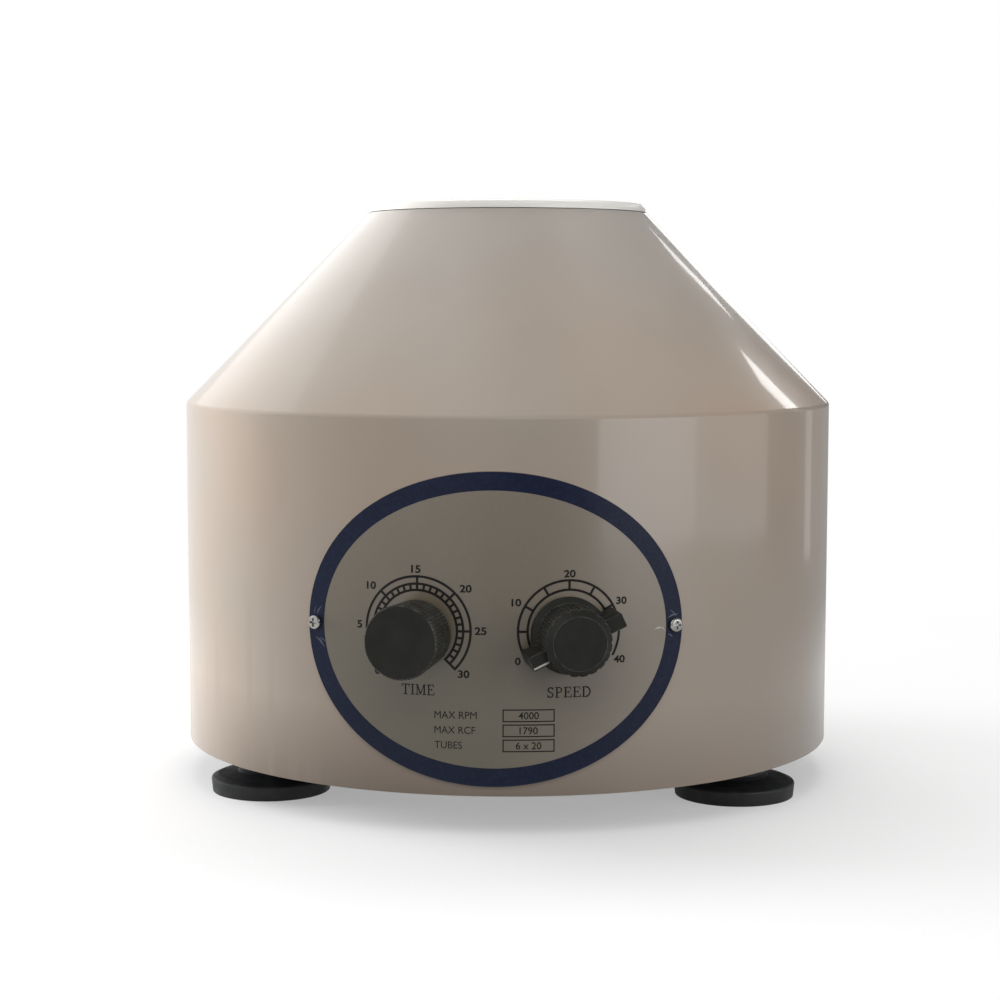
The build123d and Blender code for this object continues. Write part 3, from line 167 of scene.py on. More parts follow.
# roughness is the shiniest and the dullest patch; coat is its weight and roughness
casing = {
    "warm": tint(162, 144, 128),
    "cool": tint(158, 147, 135),
    "paintedTopLight": tint(167, 161, 154),  # painted highlight: paler towards the mouth, where the light falls most
    "smudge": tint(143, 130, 116),
    "shellShade": tint(92, 79, 65),  # painted shade along the lower edge
    "streaks": 0.85,
    "coat": (0.6, 0.07),
    "roughness": (0.26, 0.36),
}
lidPlastic = {
    "warm": tint(226, 222, 213),
    "cool": tint(221, 219, 212),
    # painted highlight towards the top
    "paintedTopLight": tint(228, 226, 220),
    "smudge": tint(196, 191, 181),
    # painted shade along the lower edge
    "shellShade": tint(196, 191, 181),
    "streaks": 0.0,
    "coat": (0.4, 0.07),
    "roughness": (0.3, 0.42),
}
# where each mark begins and where it is full, in metres, and its strength at both places
shellMarks = {
    # painted highlight towards the top
    "paintedTopLightUp": ((0.155, 0.255), (0.0, 1.0)),
    "runsUp": ((0.1, 0.03), (0.0, 1.0)),
    "runsAcross": ((-0.055, -0.1), (0.0, 1.0)),
    # painted shade along the lower front wall
    "shellShadeUp": ((0.05, 0.015), (0.0, 1.0)),
    "shellShadeFromRight": ((0.09, 0.0), (0.4, 0.8)),
    "shellShadeFromLeft": ((-0.132, -0.1), (0.45, 1.0)),
}


def makeShell(name, shell):
    finish = Finish(name, coat=shell["coat"][0], coatRough=shell["coat"][1])
    across, up = finish.place()
    clean = finish.blend(finish.patches(scale=9, detail=2), shell["warm"], shell["cool"])
    # painted highlight: the shell turns paler towards the top
    clean = finish.blend(finish.fit(up, *shellMarks["paintedTopLightUp"]), clean, shell["paintedTopLight"])
    # faint marks where it is handled and wiped
    hands = finish.noise(scale=22, detail=2, stretch=(1, 1, 0.35))
    mark = finish.fit(hands, source=(0.45, 0.85), target=(0.0, 0.3))
    # run marks down the lower wall, strongest to the left of the panel
    streaks = finish.noise(scale=95, detail=3, stretch=(1, 1, 0.07))
    runs = finish.fit(streaks, source=(0.5, 0.72))
    low = finish.fit(up, *shellMarks["runsUp"])
    left = finish.fit(across, *shellMarks["runsAcross"])
    runs = finish.times(runs, finish.times(low, left))
    runs = finish.times(runs, shell["streaks"])
    # painted shade along the lower wall, deeper in front than at the sides
    shellShadeAcross = finish.fit(across, *shellMarks["shellShadeFromRight"])
    shellShadeAcross = finish.times(shellShadeAcross, finish.fit(across, *shellMarks["shellShadeFromLeft"]))
    shellShade = finish.times(shellShadeAcross, finish.fit(up, *shellMarks["shellShadeUp"]))
    clean = finish.blend(shellShade, clean, shell["shellShade"])
    finish.colour(finish.blend(finish.maths("MAXIMUM", mark, runs), clean, shell["smudge"]))
    finish.gloss(finish.patches(scale=34, detail=2, source=(0.1, 0.9), target=shell["roughness"]))
    finish.relief(finish.noise(scale=520, detail=2), depth=0.00006, strength=0.3)
    return finish.material


panelPlate = {
    "face": tint(113, 103, 89),
    "shade": tint(106, 96, 82),
    "low": tint(74, 67, 45),  # painted shade towards the lower edge and the middle
    "plateSheen": tint(127, 118, 105),  # painted reflection of the window, paler to the right
    # begins and is full in metres, then its strength at both places
    "plateShadeUp": ((0.135, 0.035), (0.0, 1.0)),
    "plateShadeAcross": ((0.07, -0.01), (0.35, 1.0)),
    "plateSheenAcross": ((0.0, 0.065), (0.0, 0.8)),
    "roughness": (0.34, 0.46),
}


def makePanelPlate():
    finish = Finish("panelPlate", specular=0.7, coat=0.85, coatRough=0.16)
    across, up = finish.place()
    grain = finish.patches(scale=1400, detail=2)
    cloud = finish.patches(scale=30, detail=3)
    speck = finish.blend(grain, panelPlate["face"], panelPlate["shade"])
    clean = finish.blend(finish.times(cloud, 0.5), speck, panelPlate["shade"])
    # painted shade: darker towards the lower edge and the middle
    plateShade = finish.fit(across, *panelPlate["plateShadeAcross"])
    plateShade = finish.times(finish.fit(up, *panelPlate["plateShadeUp"]), plateShade)
    clean = finish.blend(plateShade, clean, panelPlate["low"])
    # painted reflection: the right side paler, where the window is mirrored
    plateSheen = finish.fit(across, *panelPlate["plateSheenAcross"])
    finish.colour(finish.blend(plateSheen, clean, panelPlate["plateSheen"]))
    finish.gloss(finish.fit(cloud, (0, 1), panelPlate["roughness"]))
    finish.relief(finish.noise(scale=900, detail=2), depth=0.00003, strength=0.3)
    return finish.material


knobs = {
    "body": tint(32, 32, 29),
    "dark": tint(26, 26, 24),
    # rubbed corners, partly a painted highlight
    "worn": tint(128, 128, 120),
    "corner": 0.0004,
    "roughness": (0.42, 0.6),
}


def makeKnobs():
    finish = Finish("knobPlastic", specular=0.22)
    base = finish.blend(finish.patches(scale=120, detail=4), knobs["body"], knobs["dark"])
    # lighter rubbed corners: edge wear, and partly a painted highlight where the knurled sides
    # catch the light
    rubbed = finish.patches(scale=300, detail=4, source=(0.35, 0.6), target=(0.2, 0.8))
    worn = finish.times(finish.edges(knobs["corner"]), rubbed)
    finish.colour(finish.blend(worn, base, knobs["worn"]))
    finish.patchyGloss(scale=220, detail=4, roughness=knobs["roughness"])
    finish.relief(finish.noise(scale=2600, detail=2), depth=0.00004, strength=0.5)
    return finish.material


rubber = {"black": tint(30, 31, 33), "bloom": tint(58, 58, 58), "roughness": (0.42, 0.62)}


def makeRubber():
    finish = Finish("blackRubber", specular=0.4)
    bloom = finish.patches(scale=90, detail=5, source=(0.5, 0.78), target=(0.0, 0.6))
    finish.colour(finish.blend(bloom, rubber["black"], rubber["bloom"]))
    finish.patchyGloss(scale=140, detail=4, roughness=rubber["roughness"])
    finish.relief(finish.noise(scale=1500, detail=3), depth=0.00005, strength=0.5)
    return finish.material


blackPlastic = {
    "black": tint(34, 34, 36),
    "dull": tint(46, 46, 47),
    "worn": tint(92, 92, 92),
    "corner": 0.0003,
    "roughness": (0.3, 0.46),
}


def makeBlackPlastic():
    finish = Finish("blackPlastic", specular=0.5)
    cloud = finish.patches(scale=150, detail=3, source=(0.4, 0.6))
    base = finish.blend(cloud, blackPlastic["black"], blackPlastic["dull"])
    worn = finish.fit(finish.edges(blackPlastic["corner"]), (0, 1), (0, 0.5))
    finish.colour(finish.blend(worn, base, blackPlastic["worn"]))
    finish.patchyGloss(scale=260, detail=3, roughness=blackPlastic["roughness"])
    finish.relief(finish.cells(scale=1800), depth=0.00004, strength=0.4)
    return finish.material


# drawn packs the grain closer up the axis, as turning marks run round a shaft
metals = {
    "platedSteel": {
        "bright": tint(196, 197, 200),
        "dull": tint(158, 158, 158),
        "roughness": (0.26, 0.42),
        "grain": 500,
        "drawn": (1, 1, 1),
    },
    "chromeScrew": {
        "bright": tint(176, 176, 174),
        "dull": tint(132, 130, 124),
        "roughness": (0.14, 0.3),
        "grain": 500,
        "drawn": (1, 1, 1),
    },
    "groundSteel": {
        "bright": tint(206, 206, 208),
        "dull": tint(158, 158, 158),
        "roughness": (0.16, 0.3),
        "grain": 260,
        "drawn": (1, 1, 14),
    },
    "castAluminium": {
        "bright": tint(198, 200, 203),
        "dull": tint(168, 170, 173),
        "roughness": (0.3, 0.48),
        "grain": 500,
        "drawn": (1, 1, 1),
    },
    "brassParts": {
        "bright": tint(212, 176, 98),
        "dull": tint(160, 128, 66),
        "roughness": (0.24, 0.4),
        "grain": 500,
        "drawn": (1, 1, 1),
    },
}


def makeMetal(name):
    metal = metals[name]
    finish = Finish(name, metallic=1.0)
    stain = finish.patches(scale=70, detail=4, source=(0.45, 0.75), target=(0.0, 0.7))
    finish.colour(finish.blend(stain, metal["bright"], metal["dull"]))
    grain = finish.noise(metal["grain"], detail=4, stretch=metal["drawn"])
    finish.gloss(finish.fit(grain, (0.3, 0.7), metal["roughness"]))
    finish.relief(grain, depth=0.00003, strength=0.5)
    return finish.material


enamel = {
    "light": tint(178, 180, 180),
    "shade": tint(168, 170, 169),
    "chipped": tint(112, 112, 112),
    "corner": 0.0003,
    "roughness": (0.32, 0.46),
}


def makeEnamel():
    finish = Finish("greyEnamel", coat=0.3, coatRough=0.15)
    cloud = finish.patches(scale=40, detail=3, source=(0.4, 0.65))
    base = finish.blend(cloud, enamel["light"], enamel["shade"])
    rubbed = finish.patches(scale=420, detail=4, source=(0.5, 0.6))
    chipped = finish.times(finish.edges(enamel["corner"]), rubbed)
    finish.colour(finish.blend(chipped, base, enamel["chipped"]))
    finish.patchyGloss(scale=90, detail=4, roughness=enamel["roughness"])
    finish.relief(finish.noise(scale=700, detail=2), depth=0.00005, strength=0.5)
    return finish.material


core = {
    "gap": tint(92, 92, 96),
    "sheet": tint(128, 129, 134),
    "pitch": 620,
    "waver": 0.4,
    "roughness": (0.4, 0.6),
}


def makeCore():
    # stacked sheets, so the lines run round at one pitch up the stack
    finish = Finish("coreSheets", metallic=1.0)
    lines = finish.add("TexWave", bands_direction="Z")
    lines.inputs["Scale"].default_value = core["pitch"]
    lines.inputs["Distortion"].default_value = core["waver"]
    finish.join(finish.stretched((0, 0, 1)), lines.inputs["Vector"])
    finish.colour(finish.blend(lines.outputs["Fac"], core["gap"], core["sheet"]))
    finish.patchyGloss(scale=300, detail=3, roughness=core["roughness"])
    finish.relief(lines.outputs["Fac"], depth=0.0001, strength=0.6)
    return finish.material


copper = {"bright": tint(176, 96, 52), "dark": tint(122, 58, 30), "roughness": (0.25, 0.4)}


def makeCopper():
    finish = Finish("enamelledCopper", metallic=0.85, coat=0.8, coatRough=0.12)
    strands = finish.noise(scale=420, detail=3, stretch=(1, 1, 6), warp=0.3)
    finish.colour(finish.blend(finish.fit(strands, (0.35, 0.65)), copper["bright"], copper["dark"]))
    finish.gloss(finish.fit(strands, (0.3, 0.7), copper["roughness"]))
    finish.relief(strands, depth=0.0003, strength=0.6)
    return finish.material


carbon = {"black": tint(38, 38, 40), "dusty": tint(66, 66, 68), "roughness": (0.4, 0.6)}


def makeCarbon():
    finish = Finish("carbonBrush", specular=0.6)
    finish.colour(finish.blend(finish.noise(scale=900, detail=3), carbon["black"], carbon["dusty"]))
    finish.patchyGloss(scale=500, detail=3, roughness=carbon["roughness"])
    return finish.material


sleevePlastic = {
    "light": tint(104, 120, 138),
    "shade": tint(90, 106, 124),
    "roughness": (0.32, 0.48),
    "softness": 0.15,
    "softDepth": 0.002,
}


def makeSleevePlastic():
    sleeve = sleevePlastic
    finish = Finish("sleevePlastic", specular=0.5)
    finish.shader.inputs["Subsurface Weight"].default_value = sleeve["softness"]
    finish.shader.inputs["Subsurface Scale"].default_value = sleeve["softDepth"]
    cloud = finish.patches(scale=60, detail=4, source=(0.4, 0.7))
    finish.colour(finish.blend(cloud, sleeve["light"], sleeve["shade"]))
    finish.patchyGloss(scale=200, detail=3, roughness=sleeve["roughness"])
    finish.relief(finish.noise(scale=1100, detail=2), depth=0.00004, strength=0.4)
    return finish.material


board = {"track": tint(58, 122, 70), "mask": tint(26, 84, 46), "roughness": (0.3, 0.42)}


def makeBoard():
    finish = Finish("boardGreen", coat=0.5, coatRough=0.1)
    tracks = finish.fit(finish.cells(scale=260, feature="DISTANCE_TO_EDGE"), (0.02, 0.05))
    finish.colour(finish.blend(tracks, board["track"], board["mask"]))
    finish.patchyGloss(scale=200, detail=3, roughness=board["roughness"])
    finish.relief(tracks, depth=0.00004, strength=0.5)
    return finish.material


glass = {
    "clear": tint(240, 244, 244),
    "haze": tint(226, 234, 234),
    "passes": 0.9,
    "bends": 1.5,
    "roughness": (0.02, 0.08),
}


def makeGlass():
    finish = Finish("fuseGlass", roughness=0.03)
    finish.shader.inputs["Transmission Weight"].default_value = glass["passes"]
    finish.shader.inputs["IOR"].default_value = glass["bends"]
    haze = finish.patches(scale=400, detail=3, source=(0.3, 0.7))
    finish.colour(finish.blend(haze, glass["clear"], glass["haze"]))
    finish.gloss(finish.fit(haze, (0, 1), glass["roughness"]))
    return finish.material


leads = {"live": tint(150, 40, 34), "neutral": tint(40, 62, 118), "roughness": (0.4, 0.55)}


def makeLeads():
    finish = Finish("leadSheath", specular=0.45)
    turns = finish.patches(scale=22, detail=2, source=(0.48, 0.52))
    finish.colour(finish.blend(turns, leads["live"], leads["neutral"]))
    finish.patchyGloss(scale=300, detail=3, roughness=leads["roughness"])
    return finish.material


slotFinishes = {
    "ivory_plastic": makeShell("ivoryCasing", casing),
    "lid_plastic": makeShell("lidPlastic", lidPlastic),
    "panel_plate": makePanelPlate(),
    "knob_grey": makeKnobs(),
    "black_rubber": makeRubber(),
    "black_plastic": makeBlackPlastic(),
    "plated_steel": makeMetal("platedSteel"),
    "chrome_screw": makeMetal("chromeScrew"),
    "painted_steel": makeEnamel(),
    "bright_steel": makeMetal("groundSteel"),
    "cast_aluminium": makeMetal("castAluminium"),
    "core_iron": makeCore(),
    "copper": makeCopper(),
    "brass_parts": makeMetal("brassParts"),
    "carbon": makeCarbon(),
    "sleeve_plastic": makeSleevePlastic(),
    "board_green": makeBoard(),
    "clear_glass": makeGlass(),
    "lead_sheath": makeLeads(),
}
for row in frame["record"]["subparts"]:
    target = nodes[row["node"]]
    target.data.materials.clear()
    target.data.materials.append(slotFinishes[row["material_slot"]])
print("finishes on all nodes:", len(slotFinishes))


# prints are thin closed layers, drawn flat and wrapped round the plate

plateLow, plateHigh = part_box("control_panel")
plate = {
    "wall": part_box("housing")[1].x,  # lengths across are measured along the housing's wall
    "face": -plateLow.y,
    "middle": (plateLow.z + plateHigh.z) / 2,
    "halfTall": (plateHigh.z - plateLow.z) / 2,
    "proud": 0.00005,
    "sunk": 0.00003,
}


def ontoPlate(across, up, lift):
    turn = across / plate["wall"]
    out = plate["face"] + lift
    return Vector((out * math.sin(turn), -out * math.cos(turn), up))


def onCircle(centre, radius, degrees, squeeze=1.0):
    turn = math.radians(degrees)
    return (centre[0] + radius * math.cos(turn), centre[1] + radius * squeeze * math.sin(turn))


# strokes that cross lie on different levels, a hair apart
levels = {"count": 9, "step": 0.0000012}


class Pattern:
    # a flat drawing, x across and y up, that becomes one thin print

    def __init__(self):
        self.flat = bmesh.new()
        self.level = 0

    def strip(self, left, right, closed=False):
        # a band between two edges with the same number of points
        self.level = (self.level + 1) % levels["count"]
        height = self.level * levels["step"]
        first = [self.flat.verts.new((x, y, height)) for x, y in left]
        second = [self.flat.verts.new((x, y, height)) for x, y in right]
        for index in range(len(first) if closed else len(first) - 1):
            after = (index + 1) % len(first)
            self.flat.faces.new((first[index], first[after], second[after], second[index]))

    def arc(self, centre, radius, width, start, end, squeeze=1.0, step=3.0):
        count = max(3, math.ceil(abs(end - start) / step))
        turns = [start + (end - start) * index / count for index in range(count + 1)]
        outer = [onCircle(centre, radius + width / 2, turn, squeeze) for turn in turns]
        inner = [onCircle(centre, radius - width / 2, turn, squeeze) for turn in turns]
        self.strip(outer, inner)

    def stroke(self, start, end, width, endWidth=None):
        start, end = Vector(start), Vector(end)
        along = (end - start).normalized()
        side = Vector((-along.y, along.x)) / 2
        endWidth = width if endWidth is None else endWidth
        left = [start + side * width, end + side * endWidth]
        right = [start - side * width, end - side * endWidth]
        self.strip(left, right)

    def tick(self, centre, degrees, inner, outer, width):
        self.stroke(onCircle(centre, inner, degrees), onCircle(centre, outer, degrees), width)

    def bar(self, left, bottom, right, top, pieces=1):
        xs = [left + (right - left) * index / pieces for index in range(pieces + 1)]
        self.strip([(x, top) for x in xs], [(x, bottom) for x in xs])

    def box(self, left, bottom, right, top, line):
        self.bar(left, bottom, right, bottom + line, pieces=10)
        self.bar(left, top - line, right, top, pieces=10)
        self.bar(left, bottom + line, left + line, top - line)
        self.bar(right - line, bottom + line, right, top - line)

    def words(self, text, place, height, anchor="middle", bold=0.0, stretch=1.0):
        curve = bpy.data.curves.new("figures", "FONT")
        curve.body = text
        curve.offset = bold
        curve.resolution_u = 5
        holder = bpy.data.objects.new("figures", curve)
        bpy.context.scene.collection.objects.link(holder)
        bpy.context.view_layer.update()
        mesh = bpy.data.meshes.new_from_object(holder)
        bpy.data.objects.remove(holder)
        points = [vertex.co for vertex in mesh.vertices]
        lowX, highX = min(point.x for point in points), max(point.x for point in points)
        lowY, highY = min(point.y for point in points), max(point.y for point in points)
        size = height / (highY - lowY)
        start = {"left": lowX, "middle": (lowX + highX) / 2}[anchor]
        for point in points:
            point.x = place[0] + (point.x - start) * size * stretch
            point.y = place[1] + (point.y - (lowY + highY) / 2) * size
            point.z = 0
        self.flat.from_mesh(mesh)
        bpy.data.meshes.remove(mesh)

    def serifWord(self, text, place, height, width, gap):
        total = sum(letters[letter]["width"] for letter in text) + gap * (len(text) - 1)
        across = width / total
        pen = place[0] - width / 2
        base = place[1] - height / 2
        for letter in text:
            shape = letters[letter]
            for left, bottom, right, top in shape["bars"]:
                xs = [pen + x * across for x in (left, right)]
                ys = [base + y * height for y in (bottom, top)]
                self.bar(xs[0], ys[0], xs[1], ys[1])
            for start, end, thick in shape.get("slants", []):
                ends = [(pen + x * across, base + y * height) for x, y in (start, end)]
                self.stroke(ends[0], ends[1], thick * across)
            for x, y, wide, tall, start, end, thick in shape.get("bends", []):
                centre = (pen + x * across, base + y * height)
                squeeze = tall * height / (wide * across)
                self.arc(centre, wide * across, thick * across, start, end, squeeze, step=12)
            pen += (shape["width"] + gap) * across

    def build(self, name, place, ink, body, slot, proud, sunk):
        # place is the function that lays a flat point on the surface
        flat = self.flat
        bmesh.ops.remove_doubles(flat, verts=flat.verts, dist=1e-7)
        copied = bmesh.ops.extrude_face_region(flat, geom=flat.faces[:], use_keep_orig=True)
        top = {item for item in copied["geom"] if isinstance(item, bmesh.types.BMVert)}
        for vertex in flat.verts:
            lift = proud + vertex.co.z if vertex in top else -sunk
            vertex.co = place(vertex.co.x, vertex.co.y, lift)
        bmesh.ops.recalc_face_normals(flat, faces=flat.faces)
        mesh = bpy.data.meshes.new(name)
        flat.to_mesh(mesh)
        flat.free()
        mesh.materials.append(ink)
        piece = bpy.data.objects.new(name, mesh)
        bpy.context.scene.collection.objects.link(piece)
        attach(piece, body)

    def onPanel(self, name, ink, proud=plate["proud"]):
        self.build(name, ontoPlate, ink, "chassis", "panel_plate", proud, plate["sunk"])


# capitals with feet, on a height of one
# a bar is left, bottom, right, top; a slant is start, end, thickness
# a bend is its centre, half width, half height, first angle, last angle, thickness
letters = {
    "T": {
        "width": 0.88,
        "bars": [
            (0, 0.91, 0.88, 1),
            (0, 0.72, 0.09, 1),
            (0.79, 0.72, 0.88, 1),
            (0.36, 0, 0.52, 1),
            (0.2, 0, 0.68, 0.08),
        ],
    },
    "I": {
        "width": 0.44,
        "bars": [(0.14, 0, 0.3, 1), (0, 0, 0.44, 0.08), (0, 0.92, 0.44, 1)],
    },
    "M": {
        "width": 1.14,
        "bars": [
            (0.12, 0, 0.21, 1),
            (0.88, 0, 1.04, 1),
            (0, 0, 0.34, 0.08),
            (0.76, 0, 1.14, 0.08),
            (0, 0.92, 0.2, 1),
            (0.9, 0.92, 1.14, 1),
        ],
        "slants": [((0.18, 0.98), (0.54, 0.06), 0.15), ((0.54, 0.06), (0.92, 0.98), 0.09)],
    },
    "E": {
        "width": 0.8,
        "bars": [
            (0.11, 0, 0.27, 1),
            (0, 0.92, 0.74, 1),
            (0, 0, 0.8, 0.08),
            (0.27, 0.48, 0.56, 0.56),
            (0.66, 0.74, 0.74, 1),
            (0.72, 0, 0.8, 0.28),
            (0.5, 0.38, 0.57, 0.66),
        ],
    },
    "S": {
        "width": 0.64,
        "bars": [(0.52, 0.7, 0.59, 1), (0, 0, 0.07, 0.32)],
        "bends": [
            (0.3, 0.735, 0.23, 0.21, 25, 270, 0.13),
            (0.3, 0.265, 0.25, 0.21, 90, -155, 0.13),
        ],
    },
    "P": {
        "width": 0.76,
        "bars": [
            (0.11, 0, 0.27, 1),
            (0, 0, 0.42, 0.08),
            (0, 0.92, 0.36, 1),
            (0.26, 0.45, 0.36, 0.53),
        ],
        "bends": [(0.34, 0.725, 0.32, 0.235, 92, -92, 0.13)],
    },
    "D": {
        "width": 0.94,
        "bars": [(0.11, 0, 0.27, 1), (0, 0, 0.4, 0.08), (0, 0.92, 0.4, 1)],
        "bends": [(0.38, 0.5, 0.46, 0.455, 92, -92, 0.14)],
    },
}


inks = {
    "black": {"fresh": tint(15, 13, 12), "worn": tint(26, 23, 21), "roughness": 0.42},
    "navy": {"fresh": tint(16, 24, 46), "worn": tint(24, 33, 58), "roughness": 0.34},
    "pale": {"fresh": tint(186, 184, 176), "worn": tint(158, 156, 150), "roughness": 0.5},
    "scuff": {"fresh": tint(92, 96, 106), "worn": tint(62, 67, 82), "roughness": 0.55},
}
inkPatchiness = 0.06  # how far the roughness strays to either side


def makeInk(name):
    ink = inks[name]
    finish = Finish(name + "Ink", specular=0.2)
    wear = finish.patches(scale=700, detail=4, source=(0.45, 0.75))
    finish.colour(finish.blend(wear, ink["fresh"], ink["worn"]))
    shiny, dull = ink["roughness"] - inkPatchiness, ink["roughness"] + inkPatchiness
    finish.patchyGloss(scale=260, detail=3, roughness=(shiny, dull))
    finish.relief(finish.noise(scale=900, detail=2), depth=0.00001, strength=0.3)
    return finish.material


blackInk = makeInk("black")
navyInk = makeInk("navy")
paleInk = makeInk("pale")
scuffInk = makeInk("scuff")


ring = {"margin": 0.00015, "across": 0.0757, "width": 0.0071, "pieces": 180, "rows": 3}


def makeRing():
    pattern = Pattern()
    edges = []
    for row in range(ring["rows"] + 1):
        inset = ring["margin"] + ring["width"] * row / ring["rows"]
        wide, tall = ring["across"] - inset, plate["halfTall"] - inset
        turns = [360 * index / ring["pieces"] for index in range(ring["pieces"])]
        edges.append([onCircle((0, plate["middle"]), wide, turn, tall / wide) for turn in turns])
    for outer, inner in zip(edges, edges[1:]):
        pattern.strip(outer, inner, closed=True)
    pattern.onPanel("panelRing", navyInk)


# angles start at three o'clock and grow against the hands; lengths are in metres
timeDial = {
    "centre": (-0.0289, 0.0807),
    "arcs": (0.0206, 0.0178, 0.0154),
    "line": 0.00094,
    "start": 225,
    "turn": -9,  # degrees a minute
    "top": 30,
    "longEvery": 5,
    # radius, then how far the figure stands aside of its tick, across and up
    "figures": {
        0: (0.0228, 0.0, -0.0002),
        5: (0.0234, -0.0002, 0.0012),
        10: (0.0250, -0.0009, -0.0012),
        15: (0.0234, -0.0005, 0.0),
        20: (0.0252, 0.0009, -0.0015),
        25: (0.0250, -0.0006, 0.0002),
        30: (0.0248, 0.0004, 0.0011),
    },
    "height": 0.0030,
}
speedDial = {
    "centre": (0.0291, 0.0807),
    "arcs": (0.0195, 0.0159),
    "line": 0.00092,
    "start": 210,
    "turn": -6,  # degrees for each unit of speed
    "top": 40,
    "tickEvery": 5,
    "figures": {
        0: (0.0226, 0.0, 0.0),
        10: (0.0235, 0.0002, -0.0006),
        20: (0.0226, 0.0001, -0.0006),
        30: (0.0236, 0.0, -0.0006),
        40: (0.0231, -0.0003, 0.0002),
    },
    "height": 0.0029,
}
figureShape = {"bold": 0.026, "stretch": 1.16}


def turnTo(dial, value):
    return dial["start"] + dial["turn"] * value


def drawArcs(pattern, dial):
    for radius in dial["arcs"]:
        pattern.arc(dial["centre"], radius, dial["line"], dial["start"], turnTo(dial, dial["top"]))


def drawFigures(pattern, dial):
    for figure, (radius, aside, rise) in dial["figures"].items():
        x, y = onCircle(dial["centre"], radius, turnTo(dial, figure))
        pattern.words(str(figure), (x + aside, y + rise), dial["height"], **figureShape)


def makeTimeDial():
    dial = timeDial
    pattern = Pattern()
    drawArcs(pattern, dial)
    outer, middle, inner = dial["arcs"]
    half = dial["line"] / 2
    for minute in range(dial["top"] + 1):
        if minute % dial["longEvery"] == 0:
            reach = (inner - half, outer + half)
        else:
            reach = (inner, middle)
        pattern.tick(dial["centre"], turnTo(dial, minute), reach[0], reach[1], dial["line"])
    drawFigures(pattern, dial)
    pattern.onPanel("timeDial", blackInk)


def makeSpeedDial():
    dial = speedDial
    pattern = Pattern()
    drawArcs(pattern, dial)
    outer, inner = dial["arcs"]
    for speed in range(dial["tickEvery"], dial["top"], dial["tickEvery"]):
        pattern.tick(dial["centre"], turnTo(dial, speed), inner, outer, dial["line"])
    drawFigures(pattern, dial)
    pattern.onPanel("speedDial", blackInk)


captions = {
    # across, up and width
    "names": {"TIME": (-0.0287, 0.0578, 0.0129), "SPEED": (0.0292, 0.0573, 0.0168)},
    "height": 0.0041,
    "gap": 0.12,  # between capitals, on a height of one
    "rows": (("MAX RPM", "4000"), ("MAX RCF", "1790"), ("TUBES", "6 x 20")),
    "rowUp": (0.04845, 0.04265, 0.03685),
    "rowHeight": 0.0028,
    "rowStretch": 0.95,
    "valueBold": 0.008,
    "left": -0.0222,
    "boxLeft": 0.0038,
    "boxRight": 0.0236,
    "boxHeight": 0.0049,
    "boxLine": 0.00045,
}


def makeCaptions():
    pattern = Pattern()
    for name, (across, up, width) in captions["names"].items():
        pattern.serifWord(name, (across, up), captions["height"], width, captions["gap"])
    left, right = captions["boxLeft"], captions["boxRight"]
    tall, half = captions["rowHeight"], captions["boxHeight"] / 2
    for (name, value), up in zip(captions["rows"], captions["rowUp"]):
        start, middle = (captions["left"], up), ((left + right) / 2, up)
        pattern.words(name, start, tall, anchor="left", stretch=captions["rowStretch"])
        pattern.words(value, middle, tall, bold=captions["valueBold"])
        pattern.box(left, up - half, right, up + half, captions["boxLine"])
    pattern.onPanel("panelCaptions", blackInk)


scratches = {
    "across": 0.0724,
    "bow": 0.08,  # how far each one bends, as a share of its length
    "widestAt": 0.4,
    "tips": (0.2, 0.15),  # the two ends, as a share of the greatest width
    "proud": 0.00007,
    # left or right screw, start and end as across and up from it, greatest width
    "scuffs": [
        (-1, (0.0006, 0.0030), (0.0030, 0.0068), 0.0006),
        (-1, (-0.0006, 0.0034), (0.0002, 0.0062), 0.0004),
        (-1, (0.0002, -0.0058), (0.0042, -0.0096), 0.0009),
        (-1, (0.0020, -0.0060), (0.0046, -0.0074), 0.0005),
        (1, (-0.0030, 0.0030), (0.0014, 0.0042), 0.0008),
        (1, (-0.0022, 0.0058), (0.0006, 0.0030), 0.0005),
        (1, (-0.0030, -0.0034), (-0.0008, -0.0048), 0.0005),
    ],
    "chips": [
        (1, (-0.0088, -0.0012), (-0.0050, -0.0008), 0.0008),
        (1, (-0.0062, -0.0004), (-0.0044, -0.0020), 0.0004),
    ],
}


def makeScratches(name, marks, ink):
    pattern = Pattern()
    thin, thinner = scratches["tips"]
    for side, start, end, width in marks:
        origin = Vector((side * scratches["across"], plate["middle"]))
        first, last = origin + Vector(start), origin + Vector(end)
        bow = (last - first).orthogonal() * scratches["bow"]
        middle = first.lerp(last, scratches["widestAt"]) + bow
        pattern.stroke(first, middle, width * thin, width)
        pattern.stroke(middle, last, width, width * thinner)
    pattern.onPanel(name, ink, proud=scratches["proud"])


# a painted highlight along the lower edge of the speed knob's nose
noseHighlight = {
    "arc": 0.0288,  # the knob's axis, along the housing's wall
    "inner": 0.0128,
    "outer": 0.0191,
    "width": 0.0007,
    "turn": 205,
    "low": 0.0019,  # along the nose's lower edge
    "noseTop": 0.159,  # how far the nose's face stands from the housing's axis
    "proud": 0.00006,
    "sunk": 0.0002,
}


